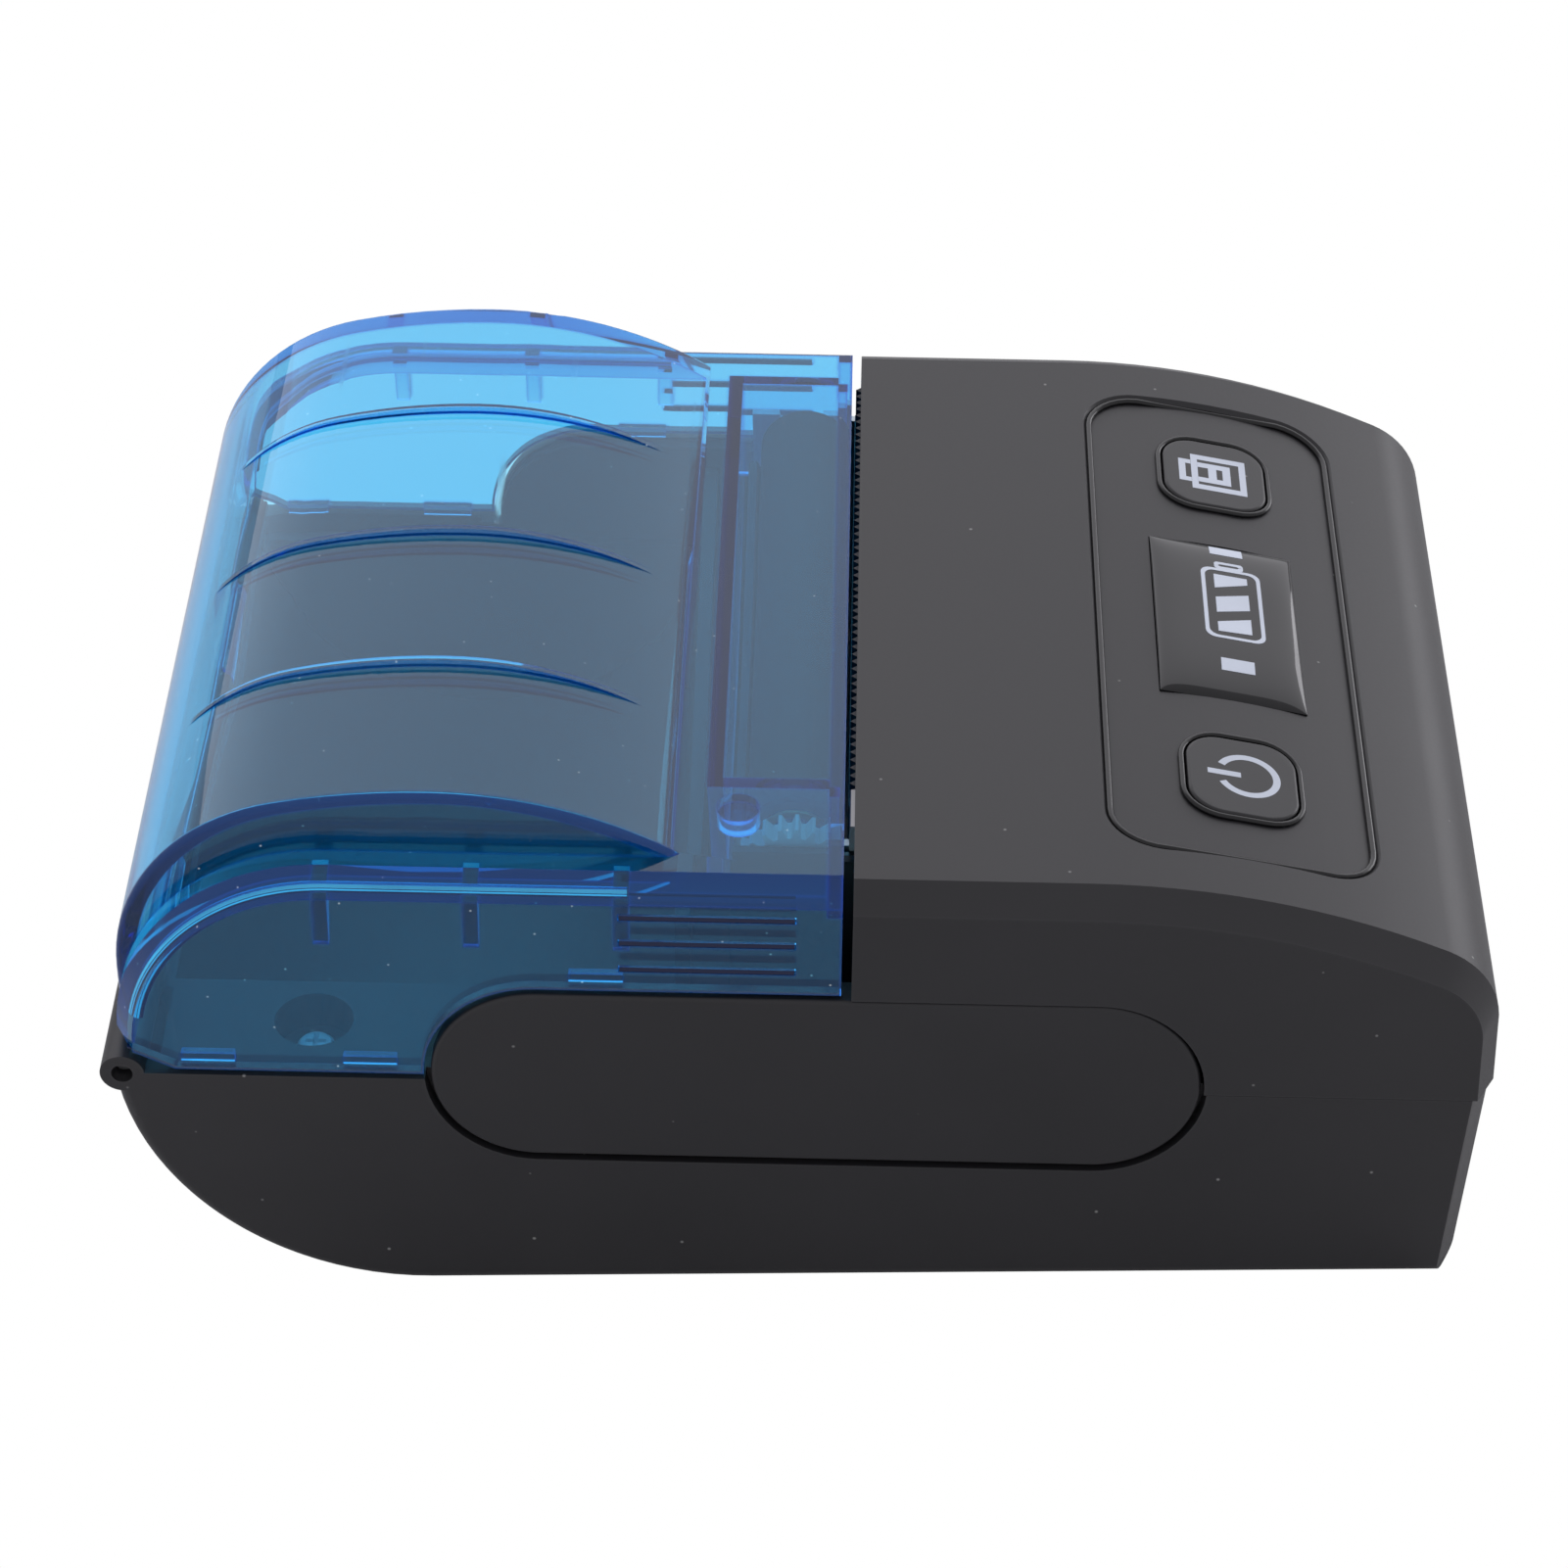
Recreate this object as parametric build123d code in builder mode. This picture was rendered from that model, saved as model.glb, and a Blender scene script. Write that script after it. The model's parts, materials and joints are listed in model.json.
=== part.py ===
# Portable receipt printer for 58 mm paper rolls: a black tub and front cover, a clear domed lid
# hinged at the rear, and the print mechanism, boards and battery that they hold.
# Millimetres. The case is drawn level along its parting line: +X to the front, +Y to the far
# side, +Z up, x = 0 at the seam of lid and front cover, y = 0 at mid-width. At the end every
# piece leans by base_lean about Y, so that the underside lies flat on z = 0.
import os
from math import asin, atan2, cos, hypot, pi, radians, sin, sqrt, tan

from build123d import *

# Case
base_lean = 2.28              # degrees between parting line and underside
underside_datum = 38.6        # x where the underside crosses z = 0
case_half_width = 39.0
tub_step = 0.2                # tub side inside the cover's side
lid_step = 0.3                # lid side inside the cover's side
case_wall = 1.8
parting_height = 19.2
joint_line = 0.2              # gap of tub and front cover
band_drop = 1.5               # bevel along the upper and front edges
band_width = 2.7
edge_round = 1.2

# Front cover
cover_rear = 0.3
cover_height = 38.3
crown_start = 18.3
crown_radius = 67.0
crown_angle = 24.4
nose_reach = 50.5
nose_height = 26.0
front_reach = 50.75

# Tub
tub_front_top = 50.4
tub_front_foot = 49.3
foot_round = 1.5
roll_centre_x = -34.0
rear_curve_radius = 23.4

# Hinge
hinge_inset = 0.8             # barrel centre inside the rear curve's reach
hinge_drop = 0.1              # barrel centre under the parting line
barrel_radius = 1.75
pin_radius = 0.8
pin_fit = 0.05                # radial play of pin in barrel
pin_recess = 1.2              # pin end inside the barrel's mouth
knuckle_gap = 0.4
end_knuckle_length = 13.8
middle_knuckle_half = 11.7

# Side panels
pill_radius = 8.3
pill_rear = -24.1             # centre of the rear round end
pill_front = 19.4             # centre of the front round end
pill_height = 19.75
panel_thickness = 1.4
panel_groove = 0.5            # gap round the panel in the tub
panel_cover_gap = 0.25
panel_lid_gap = 0.55
panel_seat = 0.05
backing_wall = 1.2

# Lid
seam_gap = 0.8                # lid to front cover
lid_rise = 0.3                # lid top over the cover's top
lid_wall = 1.5
lid_corner_radius = 17.0
lid_rear_reach = 0.5          # rear wall behind the hinge centre
hem_gap = 0.45                # lid hem over the parting line
hinge_bevel_length = 4.7
hinge_bevel_height = 2.4
dome_end_inset = 4.5          # dome's ends inside the case's sides
dome_front = -13.0
dome_peak_x = -32.0
dome_rise = 5.5
dome_back_radius = 53.0       # behind the peak
dome_corner_radius = 17.0
dome_foot_rise = 2.0          # foot of the dome's outline over the hem
dome_edge_round = 0.6
fin_spacing = 17.9
fin_thickness = 0.6
fin_height = 0.6              # at the dome's peak, running out to nothing at both ends
fin_bend_height = 0.45        # where the dome's rear corner starts
fin_rear = -52.6
fin_front = -16.6
lip_depth = 3.0
lip_wall = 1.2
rib_places = (-40.4, -28.9, -17.4)
rib_width = 1.2
rib_depth = 2.4
rib_foot_depth = 0.7
rib_foot = 32.0
grip_heights = (35.9, 33.4, 30.8)
grip_rear = -17.6
grip_front = -4.0
grip_width = 0.5
grip_depth = 0.35
lug_length = 4.2
lug_height = 0.9
lug_depth = 0.7
low_lug_places = (-49.9, -37.2)
high_lug_place = -19.4
lid_post_place = -8.8
lid_post_radius = 1.7
lid_post_length = 1.6

# Paper path and platen
path_centre = 4.4             # y of the paper's mid-line
path_side_room = 9.75         # case side to paper path, the path centred
head_face = -0.2              # x of the print head's face
head_gap = 0.3
platen_radius = 4.0
platen_height = 31.0
shaft_radius = 1.5
shaft_fit = 0.05
bush_radius = 2.5
bush_flange = 3.2
bush_flange_thickness = 0.3
bracket_wall = 1.2            # rib frame under the lid that holds the platen
bracket_rear = -11.3
bracket_foot = 27.3
bracket_front_gap = 0.4
roller_end_gap = 0.65
running_gap = 0.35

# Paper tray
bay_wall_room = 3.2           # tub's rear curve to the bay's wall
tray_wall = 1.2
bay_side_play = 0.7
deck_height = 18.2
tray_front_height = 26.0
deck_gap = 0.6
deck_inset = 0.1              # deck's rear edge inside the bay's wall
well_radius = 3.15
well_depth = 3.4
well_wall = 0.9
tray_screw_rows = (-42.4, -19.0)
tray_screw_inset = 8.8

# Print mechanism
frame_sheet = 0.8
frame_floor_height = 8.0
frame_floor = 1.0
frame_rear = -9.3
frame_front = 15.5
frame_far_front = 9.5
frame_top = 33.2
notch_play = 0.4
crossbar_place = 4.4
crossbar_foot = 27.0
crossbar_top = 34.4
head_thickness = 0.8
sink_thickness = 1.8
head_foot = 25.0
head_top = 35.2
head_side_gap = 1.5
head_pivot_rise = 1.2
sink_notch_pitch = 7.3
head_spring_radius = 1.9
head_spring_spread = 15.0
guide_gap = 0.7
guide_wall = 0.8
guide_leg_place = -8.0
guide_leg_width = 9.8
guide_leg_spread = 19.5
guide_start = -160.0          # degrees round the platen, from the front
guide_sweep = 110.0
sensor_angle = -110.0
sensor_size = (3.2, 4.0, 1.3)
frame_screw_row = 2.0
frame_screw_near_inset = 16.85
frame_screw_far_inset = 5.65

# Gear train
gear_module = 0.4
platen_teeth = 22
idler_teeth = 34
pinion_teeth = 12
gear_width = 2.0
gear_play = 0.06              # added to each centre distance
axle_radius = 1.0
axle_fit = 0.05
motor_radius = 7.5
motor_length = 12.0
motor_bearing = -17.5         # degrees from idler to pinion
motor_shaft_radius = 0.8
gear_cover_thickness = 0.8
gear_cover_top = 34.4
gear_cover_front = 10.9

# Tear bar
tear_pitch = 1.0
tear_depth = 0.6
tear_tip = -0.15
tear_bar_width = 3.4
tear_bar_thickness = 0.7
tear_skin = 0.8               # cover left over the tear bar
clip_length = 4.8
clip_thickness = 0.4
clip_height = 2.4

# Control panel
panel_x = 30.8                # middle of the control panel
panel_sink = 0.45
panel_rear = 19.9
panel_front = 41.4
panel_half_length = 31.3
panel_corner = 4.5
panel_border = 0.36           # sloping border of the sunk panel
button_spread = 21.1
button_length = 9.0
button_width = 9.7
button_corner = 2.9
button_gap = 0.3
button_rise = 0.3             # cap over the sunk panel
button_flange = 0.7
button_flange_thickness = 0.7
button_flange_gap = 0.6       # flange under the cover's skin
button_travel = 0.8
button_stem_radius = 1.6
button_stem = 1.3
label_length = 12.3
label_width = 21.6
label_rise = 0.25             # label's top over the sunk panel
label_pocket = 0.6
window_length = 4.0
window_width = 16.0

# Key board
key_board_size = (13.5, 54.0, 1.0)
switch_size = 6.0
switch_height = 3.3
plunger_radius = 1.7
plunger_height = 0.5
plunger_gap = 0.3             # stem to plunger at full travel
key_post_spread = 12.6
key_post_radius = 2.2
lamp_places = (-7.0, -3.5, 0.0, 3.5, 7.0)
lamp_size = (1.6, 0.9, 0.7)
lamp_gap = 0.3

# Main board
board_rear = 17.6
board_front = 46.4
board_near_inset = 5.0
board_far_inset = 3.6
board_height = 18.2
board_thickness = 1.2
board_near_screw_rows = (22.0, 36.5)
board_near_screw_inset = 3.5
board_far_screw_row = 29.5
board_far_screw_inset = 4.4
usb_place = 22.0
usb_width = 7.6
usb_height = 2.6
usb_length = 6.0
usb_wall = 0.3
usb_tongue = 0.7
usb_port_play = 0.5
board_chips = (               # from the board's rear and near edges; length, width, height
    (15.4, 26.0, 7.0, 7.0, 1.0),
    (9.9, 12.0, 4.0, 6.0, 1.5),
    (17.4, 42.0, 8.0, 12.0, 1.8),
    (8.4, 50.0, 3.0, 5.0, 1.2),
)
board_caps = ((24.9, 21.0), (24.9, 24.5))
board_cap_radius = 1.5
board_cap_height = 3.2
cable_socket_height = 1.6
cable_socket_side = 0.7
cable_width = 22.0
cable_thickness = 0.2
cable_bend = 1.8

# Screws
case_screw_rows = (13.5, 43.0)
case_screw_inset = 7.0
tower_radius = 3.2
tower_top = 12.0
tower_seat = 8.0
screw_head_radius = 2.0
screw_head_height = 1.5
screw_radius = 0.95
screw_play = 0.35
case_screw_length = 15.0
cover_boss_radius = 2.8
boss_gap = 0.2
small_head_radius = 1.6
small_head_height = 1.2
small_screw_radius = 0.75
small_screw_length = 6.0
small_screw_play = 0.175
small_boss_radius = 2.3
pilot_fit = 0.03
cross_slot = 0.4

# Tolerance for picking edges by their place
near_enough = 0.05

# Battery
bay_front = 46.0
bay_length = 29.0
bay_side_inset = 13.3
rim_width = 1.4
rim_thickness = 3.0
cover_plate = 1.4
cover_recess = 1.7
cover_play = 0.3
cover_slide = 2.0
tongue_length = 1.0
tongue_width = 8.0
tongue_thickness = 0.6
tongue_spread = 14.0
cover_grip_lines = 5
cover_grip_start = 3.2
cover_grip_pitch = 1.2
cell_radius = 7.0
cell_gap = 0.4
cell_play = 0.3
contact_width = 2.0
contact_sheet = 0.25
contact_reach = 3.0
contact_spacing = 6.0

# Worked out from the sizes above
tub_half_width = case_half_width - tub_step
lid_half_width = case_half_width - lid_step
side_inner = case_half_width - case_wall
cover_foot = parting_height + joint_line
underside_slope = tan(radians(base_lean))
roll_centre_z = rear_curve_radius / cos(radians(base_lean))
roll_centre_z += underside_slope * (roll_centre_x - underside_datum)
hinge_x = roll_centre_x - rear_curve_radius + hinge_inset
hinge_z = parting_height - hinge_drop
backing_inner = tub_half_width - panel_thickness - panel_seat - backing_wall
lid_front = cover_rear - seam_gap
lid_height = cover_height + lid_rise
lid_rear = hinge_x - lid_rear_reach
lid_inner_top = lid_height - lid_wall
lid_inner_side = lid_half_width - lid_wall
hem = parting_height + hem_gap
dome_peak = lid_height + dome_rise
dome_front_radius = ((dome_front - dome_peak_x) ** 2 + dome_rise ** 2) / (2 * dome_rise)
dome_half_width = case_half_width - dome_end_inset
dome_foot = hem + dome_foot_rise
dome_back_centre = (dome_peak_x, dome_peak - dome_back_radius)
dome_corner_x = lid_rear + dome_corner_radius
dome_back_angle = asin((dome_peak_x - dome_corner_x) / (dome_back_radius - dome_corner_radius))
dome_corner_z = dome_back_centre[1] + (dome_back_radius - dome_corner_radius) * cos(dome_back_angle)
path_near = path_centre - case_half_width + path_side_room
path_far = path_centre + case_half_width - path_side_room
platen_x = head_face - head_gap - platen_radius
roller_near = path_near + bracket_wall + roller_end_gap
roller_far = path_far - bracket_wall - roller_end_gap
near_sheet_inner = path_near - running_gap
near_sheet_outer = near_sheet_inner - frame_sheet
far_sheet_inner = path_far + running_gap
far_sheet_outer = far_sheet_inner + frame_sheet
gear_far = near_sheet_outer - running_gap
gear_near = gear_far - gear_width
gear_cover_far = gear_near - running_gap
crown_centre_z = cover_height - crown_radius
small_screw_hole = small_screw_radius + small_screw_play
bay_radius = rear_curve_radius - bay_wall_room
bay_half_width = case_half_width - bay_side_inset
board_near = board_near_inset - case_half_width
board_far = case_half_width - board_far_inset

# Where the screws stand
case_screw_side = case_half_width - case_screw_inset
case_screw_places = [(row, side * case_screw_side) for row in case_screw_rows for side in (-1, 1)]
tray_screw_places = [(row, tray_screw_inset - case_half_width) for row in tray_screw_rows]
frame_screw_places = [
    (frame_screw_row, path_near + frame_screw_near_inset),
    (frame_screw_row, path_far - frame_screw_far_inset),
]
board_screw_places = [(row, board_near + board_near_screw_inset) for row in board_near_screw_rows]
board_screw_places += [(board_far_screw_row, board_far - board_far_screw_inset)]


def underside(x):
    """Height of the underside in the case's level frame."""
    return underside_slope * (x - underside_datum)


def crown_height(x):
    """Height of the front cover's top."""
    return crown_centre_z + sqrt(crown_radius ** 2 - max(x - crown_start, 0) ** 2)


def dome_height(x):
    """Height of the dome's top: front slope, flatter back and rear corner, each an arc."""
    if x > dome_peak_x:
        return dome_peak - dome_front_radius + sqrt(dome_front_radius ** 2 - (x - dome_peak_x) ** 2)
    if x > dome_peak_x - dome_back_radius * sin(dome_back_angle):
        return dome_back_centre[1] + sqrt(dome_back_radius ** 2 - (x - dome_peak_x) ** 2)
    return dome_corner_z + sqrt(dome_corner_radius ** 2 - (x - dome_corner_x) ** 2)


def side_view(y):
    """Plane across the case at y, seen from the near side: local x is X and local y is Z."""
    return Plane.XZ.offset(-y)


def block(x, y, z, mode=Mode.ADD):
    """A box from three (low, high) pairs."""
    size = (x[1] - x[0], y[1] - y[0], z[1] - z[0])
    with Locations(((x[0] + x[1]) / 2, (y[0] + y[1]) / 2, (z[0] + z[1]) / 2)):
        return Box(*size, mode=mode)


def rod(x, z, y, radius, mode=Mode.ADD):
    """A round bar or bore across the case at (x, z), between the (low, high) pair y."""
    with BuildSketch(side_view(y[1])) as section:
        with Locations((x, z)):
            Circle(radius)
    extrude(section.sketch, amount=y[1] - y[0], mode=mode)


def post(place, foot, top, radius, mode=Mode.ADD):
    """An upright round post or hole."""
    with BuildSketch(Plane.XY.offset(foot)) as section:
        with Locations(place):
            Circle(radius)
    extrude(section.sketch, amount=top - foot, mode=mode)


def pill(grow):
    """The side panel's outline in the side view, grown by a gap."""
    with Locations(((pill_rear + pill_front) / 2, pill_height)):
        return SlotCenterToCenter(pill_front - pill_rear, 2 * (pill_radius + grow))


def gear_outline(teeth, tooth_angle):
    """Corners of a spur gear with straight-sided teeth, one tooth pointing along tooth_angle."""
    pitch_radius = gear_module * teeth / 2
    step = 2 * pi / teeth
    root, tip = pitch_radius - 1.2 * gear_module, pitch_radius + 0.9 * gear_module
    corners = []
    for tooth in range(teeth):
        middle = tooth_angle + tooth * step
        for radius, share in ((root, -0.34), (tip, -0.1), (tip, 0.1), (root, 0.34)):
            corners.append((radius * cos(middle + share * step), radius * sin(middle + share * step)))
    return corners


def gear(x, z, y, teeth, tooth_angle, bore=0):
    """A spur gear round (x, z), solid or with a bore of a given radius."""
    with BuildSketch(side_view(y[1])) as section:
        with BuildLine(Location((x, z))):
            Polyline(*gear_outline(teeth, tooth_angle), close=True)
        make_face()
        with Locations((x, z)):
            if bore:
                Circle(bore, mode=Mode.SUBTRACT)
    extrude(section.sketch, amount=y[1] - y[0])


def screw(plane, places, head_radius, head_height, radius, length):
    """Cross-head screws whose heads stand on a plane and whose shanks reach behind it."""
    with BuildSketch(plane) as heads:
        with Locations(*places):
            Circle(head_radius)
    extrude(heads.sketch, amount=head_height)
    with BuildSketch(plane) as shanks:
        with Locations(*places):
            Circle(radius)
    extrude(shanks.sketch, amount=-length)
    with BuildSketch(plane.offset(head_height)) as slots:
        with Locations(*places):
            Rectangle(1.3 * head_radius, cross_slot)
            Rectangle(cross_slot, 1.3 * head_radius)
    extrude(slots.sketch, amount=-head_height / 2, mode=Mode.SUBTRACT)


# Tub: a curved rear, a straight underside and a front that leans out
def tub_side(top):
    """Side outline of the tub, drawn up to a given height, inside a BuildLine."""
    rear = CenterArc((roll_centre_x, roll_centre_z), rear_curve_radius, 180, 90 + base_lean)
    base = Line(rear @ 1, (tub_front_foot, underside(tub_front_foot)))
    front = Line(base @ 1, (tub_front_top, parting_height))
    rise = Line(front @ 1, (tub_front_top, top))
    roof = Line(rise @ 1, (roll_centre_x - rear_curve_radius, top))
    Line(roof @ 1, rear @ 0)


tub_roof = parting_height + 3 * case_wall
with BuildPart() as tub_form:
    with BuildSketch(side_view(0)) as tub_profile:
        with BuildLine():
            tub_side(tub_roof)
        make_face()
        foot_corner = [
            corner for corner in tub_profile.vertices()
            if abs(corner.X - tub_front_foot) < near_enough
        ]
        fillet(foot_corner, foot_round)
    extrude(amount=tub_half_width, both=True)
    rims = [
        edge for edge in edges()
        if abs(abs(edge.center().Y) - tub_half_width) < near_enough
        and edge.bounding_box().min.Z < tub_roof - near_enough
    ]
    fillet(rims, edge_round)
    front_lean = (tub_front_foot - tub_front_top, 0, underside(tub_front_foot) - parting_height)
    for side in (-1, 1):
        inner = side * (tub_half_width - band_width)
        outer = side * (tub_half_width + band_width)
        with BuildSketch(Plane.XY.offset(parting_height)):
            with BuildLine():
                Polyline(
                    (tub_front_top - band_drop, side * tub_half_width),
                    (tub_front_top, inner),
                    (tub_front_top + 2 * band_drop, inner),
                    (tub_front_top + 2 * band_drop, outer),
                    (tub_front_top - band_drop, outer),
                    close=True,
                )
            make_face()
        extrude(amount=2 * parting_height, dir=front_lean, mode=Mode.SUBTRACT)
    split(bisect_by=Plane.XY.offset(parting_height), keep=Keep.BOTTOM)

# What stands on the tub's floor: towers for the case screws, posts for tray, frame and board
tray_post_top = deck_height - well_depth - well_wall
small_posts = [(place, tray_post_top) for place in tray_screw_places]
small_posts += [(place, frame_floor_height) for place in frame_screw_places]
small_posts += [(place, board_height) for place in board_screw_places]
with BuildPart() as tub_posts:
    for place in case_screw_places:
        post(place, -parting_height, tower_top, tower_radius)
    for place, top in small_posts:
        post(place, -parting_height, top, small_boss_radius)
    add(tub_form.part, mode=Mode.INTERSECT)

# Battery bay: rim round the opening in the floor, on the slope of the underside
bay_rear = bay_front - bay_length
plate_rear = bay_rear - rim_width / 2
plate_front = bay_front + rim_width / 2
plate_half_width = bay_half_width + rim_width / 2
base_plane = Plane(
    origin=(underside_datum, 0, 0),
    x_dir=(cos(radians(base_lean)), 0, sin(radians(base_lean))),
    z_dir=(-sin(radians(base_lean)), 0, cos(radians(base_lean))),
)


def base_block(x, y, z, mode=Mode.ADD):
    """A box from three (low, high) pairs, with x and z along and above the underside."""
    with BuildSketch(base_plane.offset(z[0])) as section:
        with Locations(((x[0] + x[1]) / 2 - underside_datum, (y[0] + y[1]) / 2)):
            Rectangle(x[1] - x[0], y[1] - y[0])
    extrude(section.sketch, amount=z[1] - z[0], mode=mode)


tongue_foot = cover_plate - tongue_thickness
board_top = board_height + board_thickness
port_height = board_top + usb_height / 2
with BuildPart() as lower_shell:
    add(tub_form.part)
    with BuildSketch(side_view(0)):
        with BuildLine():
            tub_side(tub_roof)
        make_face()
        offset(amount=-case_wall, kind=Kind.INTERSECTION)
    extrude(amount=tub_half_width - case_wall, both=True, mode=Mode.SUBTRACT)
    # Round-ended wall behind each side panel, rising above the parting line
    for side in (-1, 1):
        with BuildSketch(side_view(side * backing_inner)):
            pill(panel_groove + backing_wall)
            with Locations(((pill_rear + pill_front) / 2, parting_height + 2 * pill_radius)):
                Rectangle(3 * (pill_front - pill_rear), 4 * pill_radius, mode=Mode.SUBTRACT)
            pill(-panel_cover_gap)
        extrude(amount=-side * backing_wall)
        with BuildSketch(side_view(side * tub_half_width)):
            pill(panel_groove)
        extrude(amount=side * (panel_thickness + panel_seat), mode=Mode.SUBTRACT)
    # Hinge barrel: a knuckle at each end and one in the middle, with room for the lid's knuckles
    lid_knuckle_room = tub_half_width - end_knuckle_length
    for near, far in ((-lid_knuckle_room, -middle_knuckle_half), (middle_knuckle_half, lid_knuckle_room)):
        rod(hinge_x, hinge_z, (near, far), barrel_radius + knuckle_gap, mode=Mode.SUBTRACT)
    rod(hinge_x, hinge_z, (-tub_half_width, -lid_knuckle_room), barrel_radius)
    rod(hinge_x, hinge_z, (-middle_knuckle_half, middle_knuckle_half), barrel_radius)
    rod(hinge_x, hinge_z, (lid_knuckle_room, tub_half_width), barrel_radius)
    add(tub_posts.part)
    # Battery bay, the recess that its cover slides in and the slots for the cover's tongues
    rim_half_width = bay_half_width + 2 * rim_width
    base_block((bay_rear - cover_slide - 3 * rim_width, bay_front + rim_width),
               (-rim_half_width, rim_half_width), (case_wall / 2, rim_thickness))
    base_block((bay_rear, bay_front), (-bay_half_width, bay_half_width),
               (-case_wall, rim_thickness + case_wall), mode=Mode.SUBTRACT)
    base_block((plate_rear - cover_slide - cover_play, plate_front + cover_play),
               (-plate_half_width - cover_play, plate_half_width + cover_play), (-case_wall, cover_recess),
               mode=Mode.SUBTRACT)
    for side in (-1, 1):
        base_block((plate_front, plate_front + tongue_length + cover_play),
                   (side * tongue_spread - tongue_width / 2 - cover_play,
                    side * tongue_spread + tongue_width / 2 + cover_play),
                   (tongue_foot - cover_play, cover_recess), mode=Mode.SUBTRACT)
    # Pin bore, screw holes and the port's slot
    rod(hinge_x, hinge_z, (-case_half_width, case_half_width), pin_radius + pin_fit, mode=Mode.SUBTRACT)
    for place in case_screw_places:
        post(place, -parting_height, tower_seat, screw_head_radius + screw_play, mode=Mode.SUBTRACT)
        post(place, tower_seat, parting_height, screw_radius + screw_play, mode=Mode.SUBTRACT)
    for place, top in small_posts:
        post(place, top - small_screw_length, top, small_screw_radius + pilot_fit, mode=Mode.SUBTRACT)
    block((usb_place - usb_width / 2 - cover_play, usb_place + usb_width / 2 + cover_play),
          (backing_inner - backing_wall, tub_half_width),
          (board_top - cover_play, board_top + usb_height + cover_play), mode=Mode.SUBTRACT)

with BuildPart() as hinge_pin:
    rod(hinge_x, hinge_z, (pin_recess - tub_half_width, tub_half_width - pin_recess), pin_radius)
    chamfer(edges(), pin_radius / 4)

# Side panels, set into the tub and reaching up past the parting line
with BuildPart() as side_panel_near:
    with BuildSketch(side_view(-tub_half_width)):
        pill(0)
    extrude(amount=-panel_thickness)
    fillet(faces().sort_by(Axis.Y)[0].edges(), panel_thickness / 4)

with BuildPart() as side_panel_far:
    with BuildSketch(side_view(tub_half_width)):
        pill(0)
    extrude(amount=panel_thickness)
    fillet(faces().sort_by(Axis.Y)[-1].edges(), panel_thickness / 4)
    with BuildSketch(side_view(tub_half_width)):
        with Locations((usb_place, port_height)):
            RectangleRounded(usb_width + 2 * usb_port_play, usb_height + 2 * usb_port_play, usb_height / 2)
    extrude(amount=panel_thickness, mode=Mode.SUBTRACT)

# Front cover's form
crown_slope = (panel_x - crown_start) / crown_radius
panel_plane = Plane(
    origin=(panel_x, 0, crown_height(panel_x)),
    x_dir=(sqrt(1 - crown_slope ** 2), 0, -crown_slope),
    z_dir=(crown_slope, 0, sqrt(1 - crown_slope ** 2)),
)
panel_axis = Axis(panel_plane.origin, panel_plane.z_dir)
window_foot = panel_sink + label_pocket
flange_top = case_wall + button_flange_gap
stem_foot = flange_top + button_flange_thickness + button_stem
key_board_top = stem_foot + button_travel + plunger_gap + switch_height
well_length = button_length + 2 * button_gap
well_width = button_width + 2 * button_gap


def cover_side(rear, foot):
    """Side outline of the front cover, inside a BuildLine."""
    back = Line((rear, foot), (rear, cover_height))
    flat = Line(back @ 1, (crown_start, cover_height))
    crown = CenterArc((crown_start, crown_centre_z), crown_radius, 90, -crown_angle)
    nose = TangentArc(crown @ 1, (nose_reach, nose_height), tangent=crown % 1)
    front = Line(nose @ 1, (front_reach, foot))
    Line(front @ 1, back @ 0)


def crown_drum(depth, mode=Mode.ADD):
    """The cylinder that the crown belongs to, sunk by a depth."""
    rod(crown_start, crown_centre_z, (-case_half_width, case_half_width), crown_radius - depth, mode=mode)


with BuildPart() as cover_form:
    with BuildSketch(side_view(0)):
        with BuildLine():
            cover_side(cover_rear, cover_foot)
        make_face()
    extrude(amount=case_half_width, both=True)
    for end in (0, -1):
        flank = faces().sort_by(Axis.Y)[end]
        rim = [
            edge for edge in flank.edges()
            if edge.center().Z > cover_foot + near_enough and edge.center().X > cover_rear + near_enough
        ]
        chamfer(rim, length=band_drop, length2=band_width, reference=flank)

with BuildPart() as cover_posts:
    for x, y in case_screw_places:
        post((x, y), tower_top + boss_gap, crown_height(x), cover_boss_radius)
    with BuildSketch(panel_plane.offset(-key_board_top)):
        with Locations((0, -key_post_spread), (0, key_post_spread)):
            Circle(key_post_radius)
    extrude(amount=key_board_top - case_wall / 2)
    crown_drum(case_wall / 2, mode=Mode.INTERSECT)

with BuildPart() as panel_recess:
    with BuildSketch(panel_plane.offset(-2 * case_wall)):
        with Locations(((panel_rear + panel_front) / 2 - panel_x, 0)):
            RectangleRounded(panel_front - panel_rear, 2 * panel_half_length, panel_corner)
    extrude(amount=4 * case_wall)
    crown_drum(panel_sink, mode=Mode.SUBTRACT)

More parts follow.
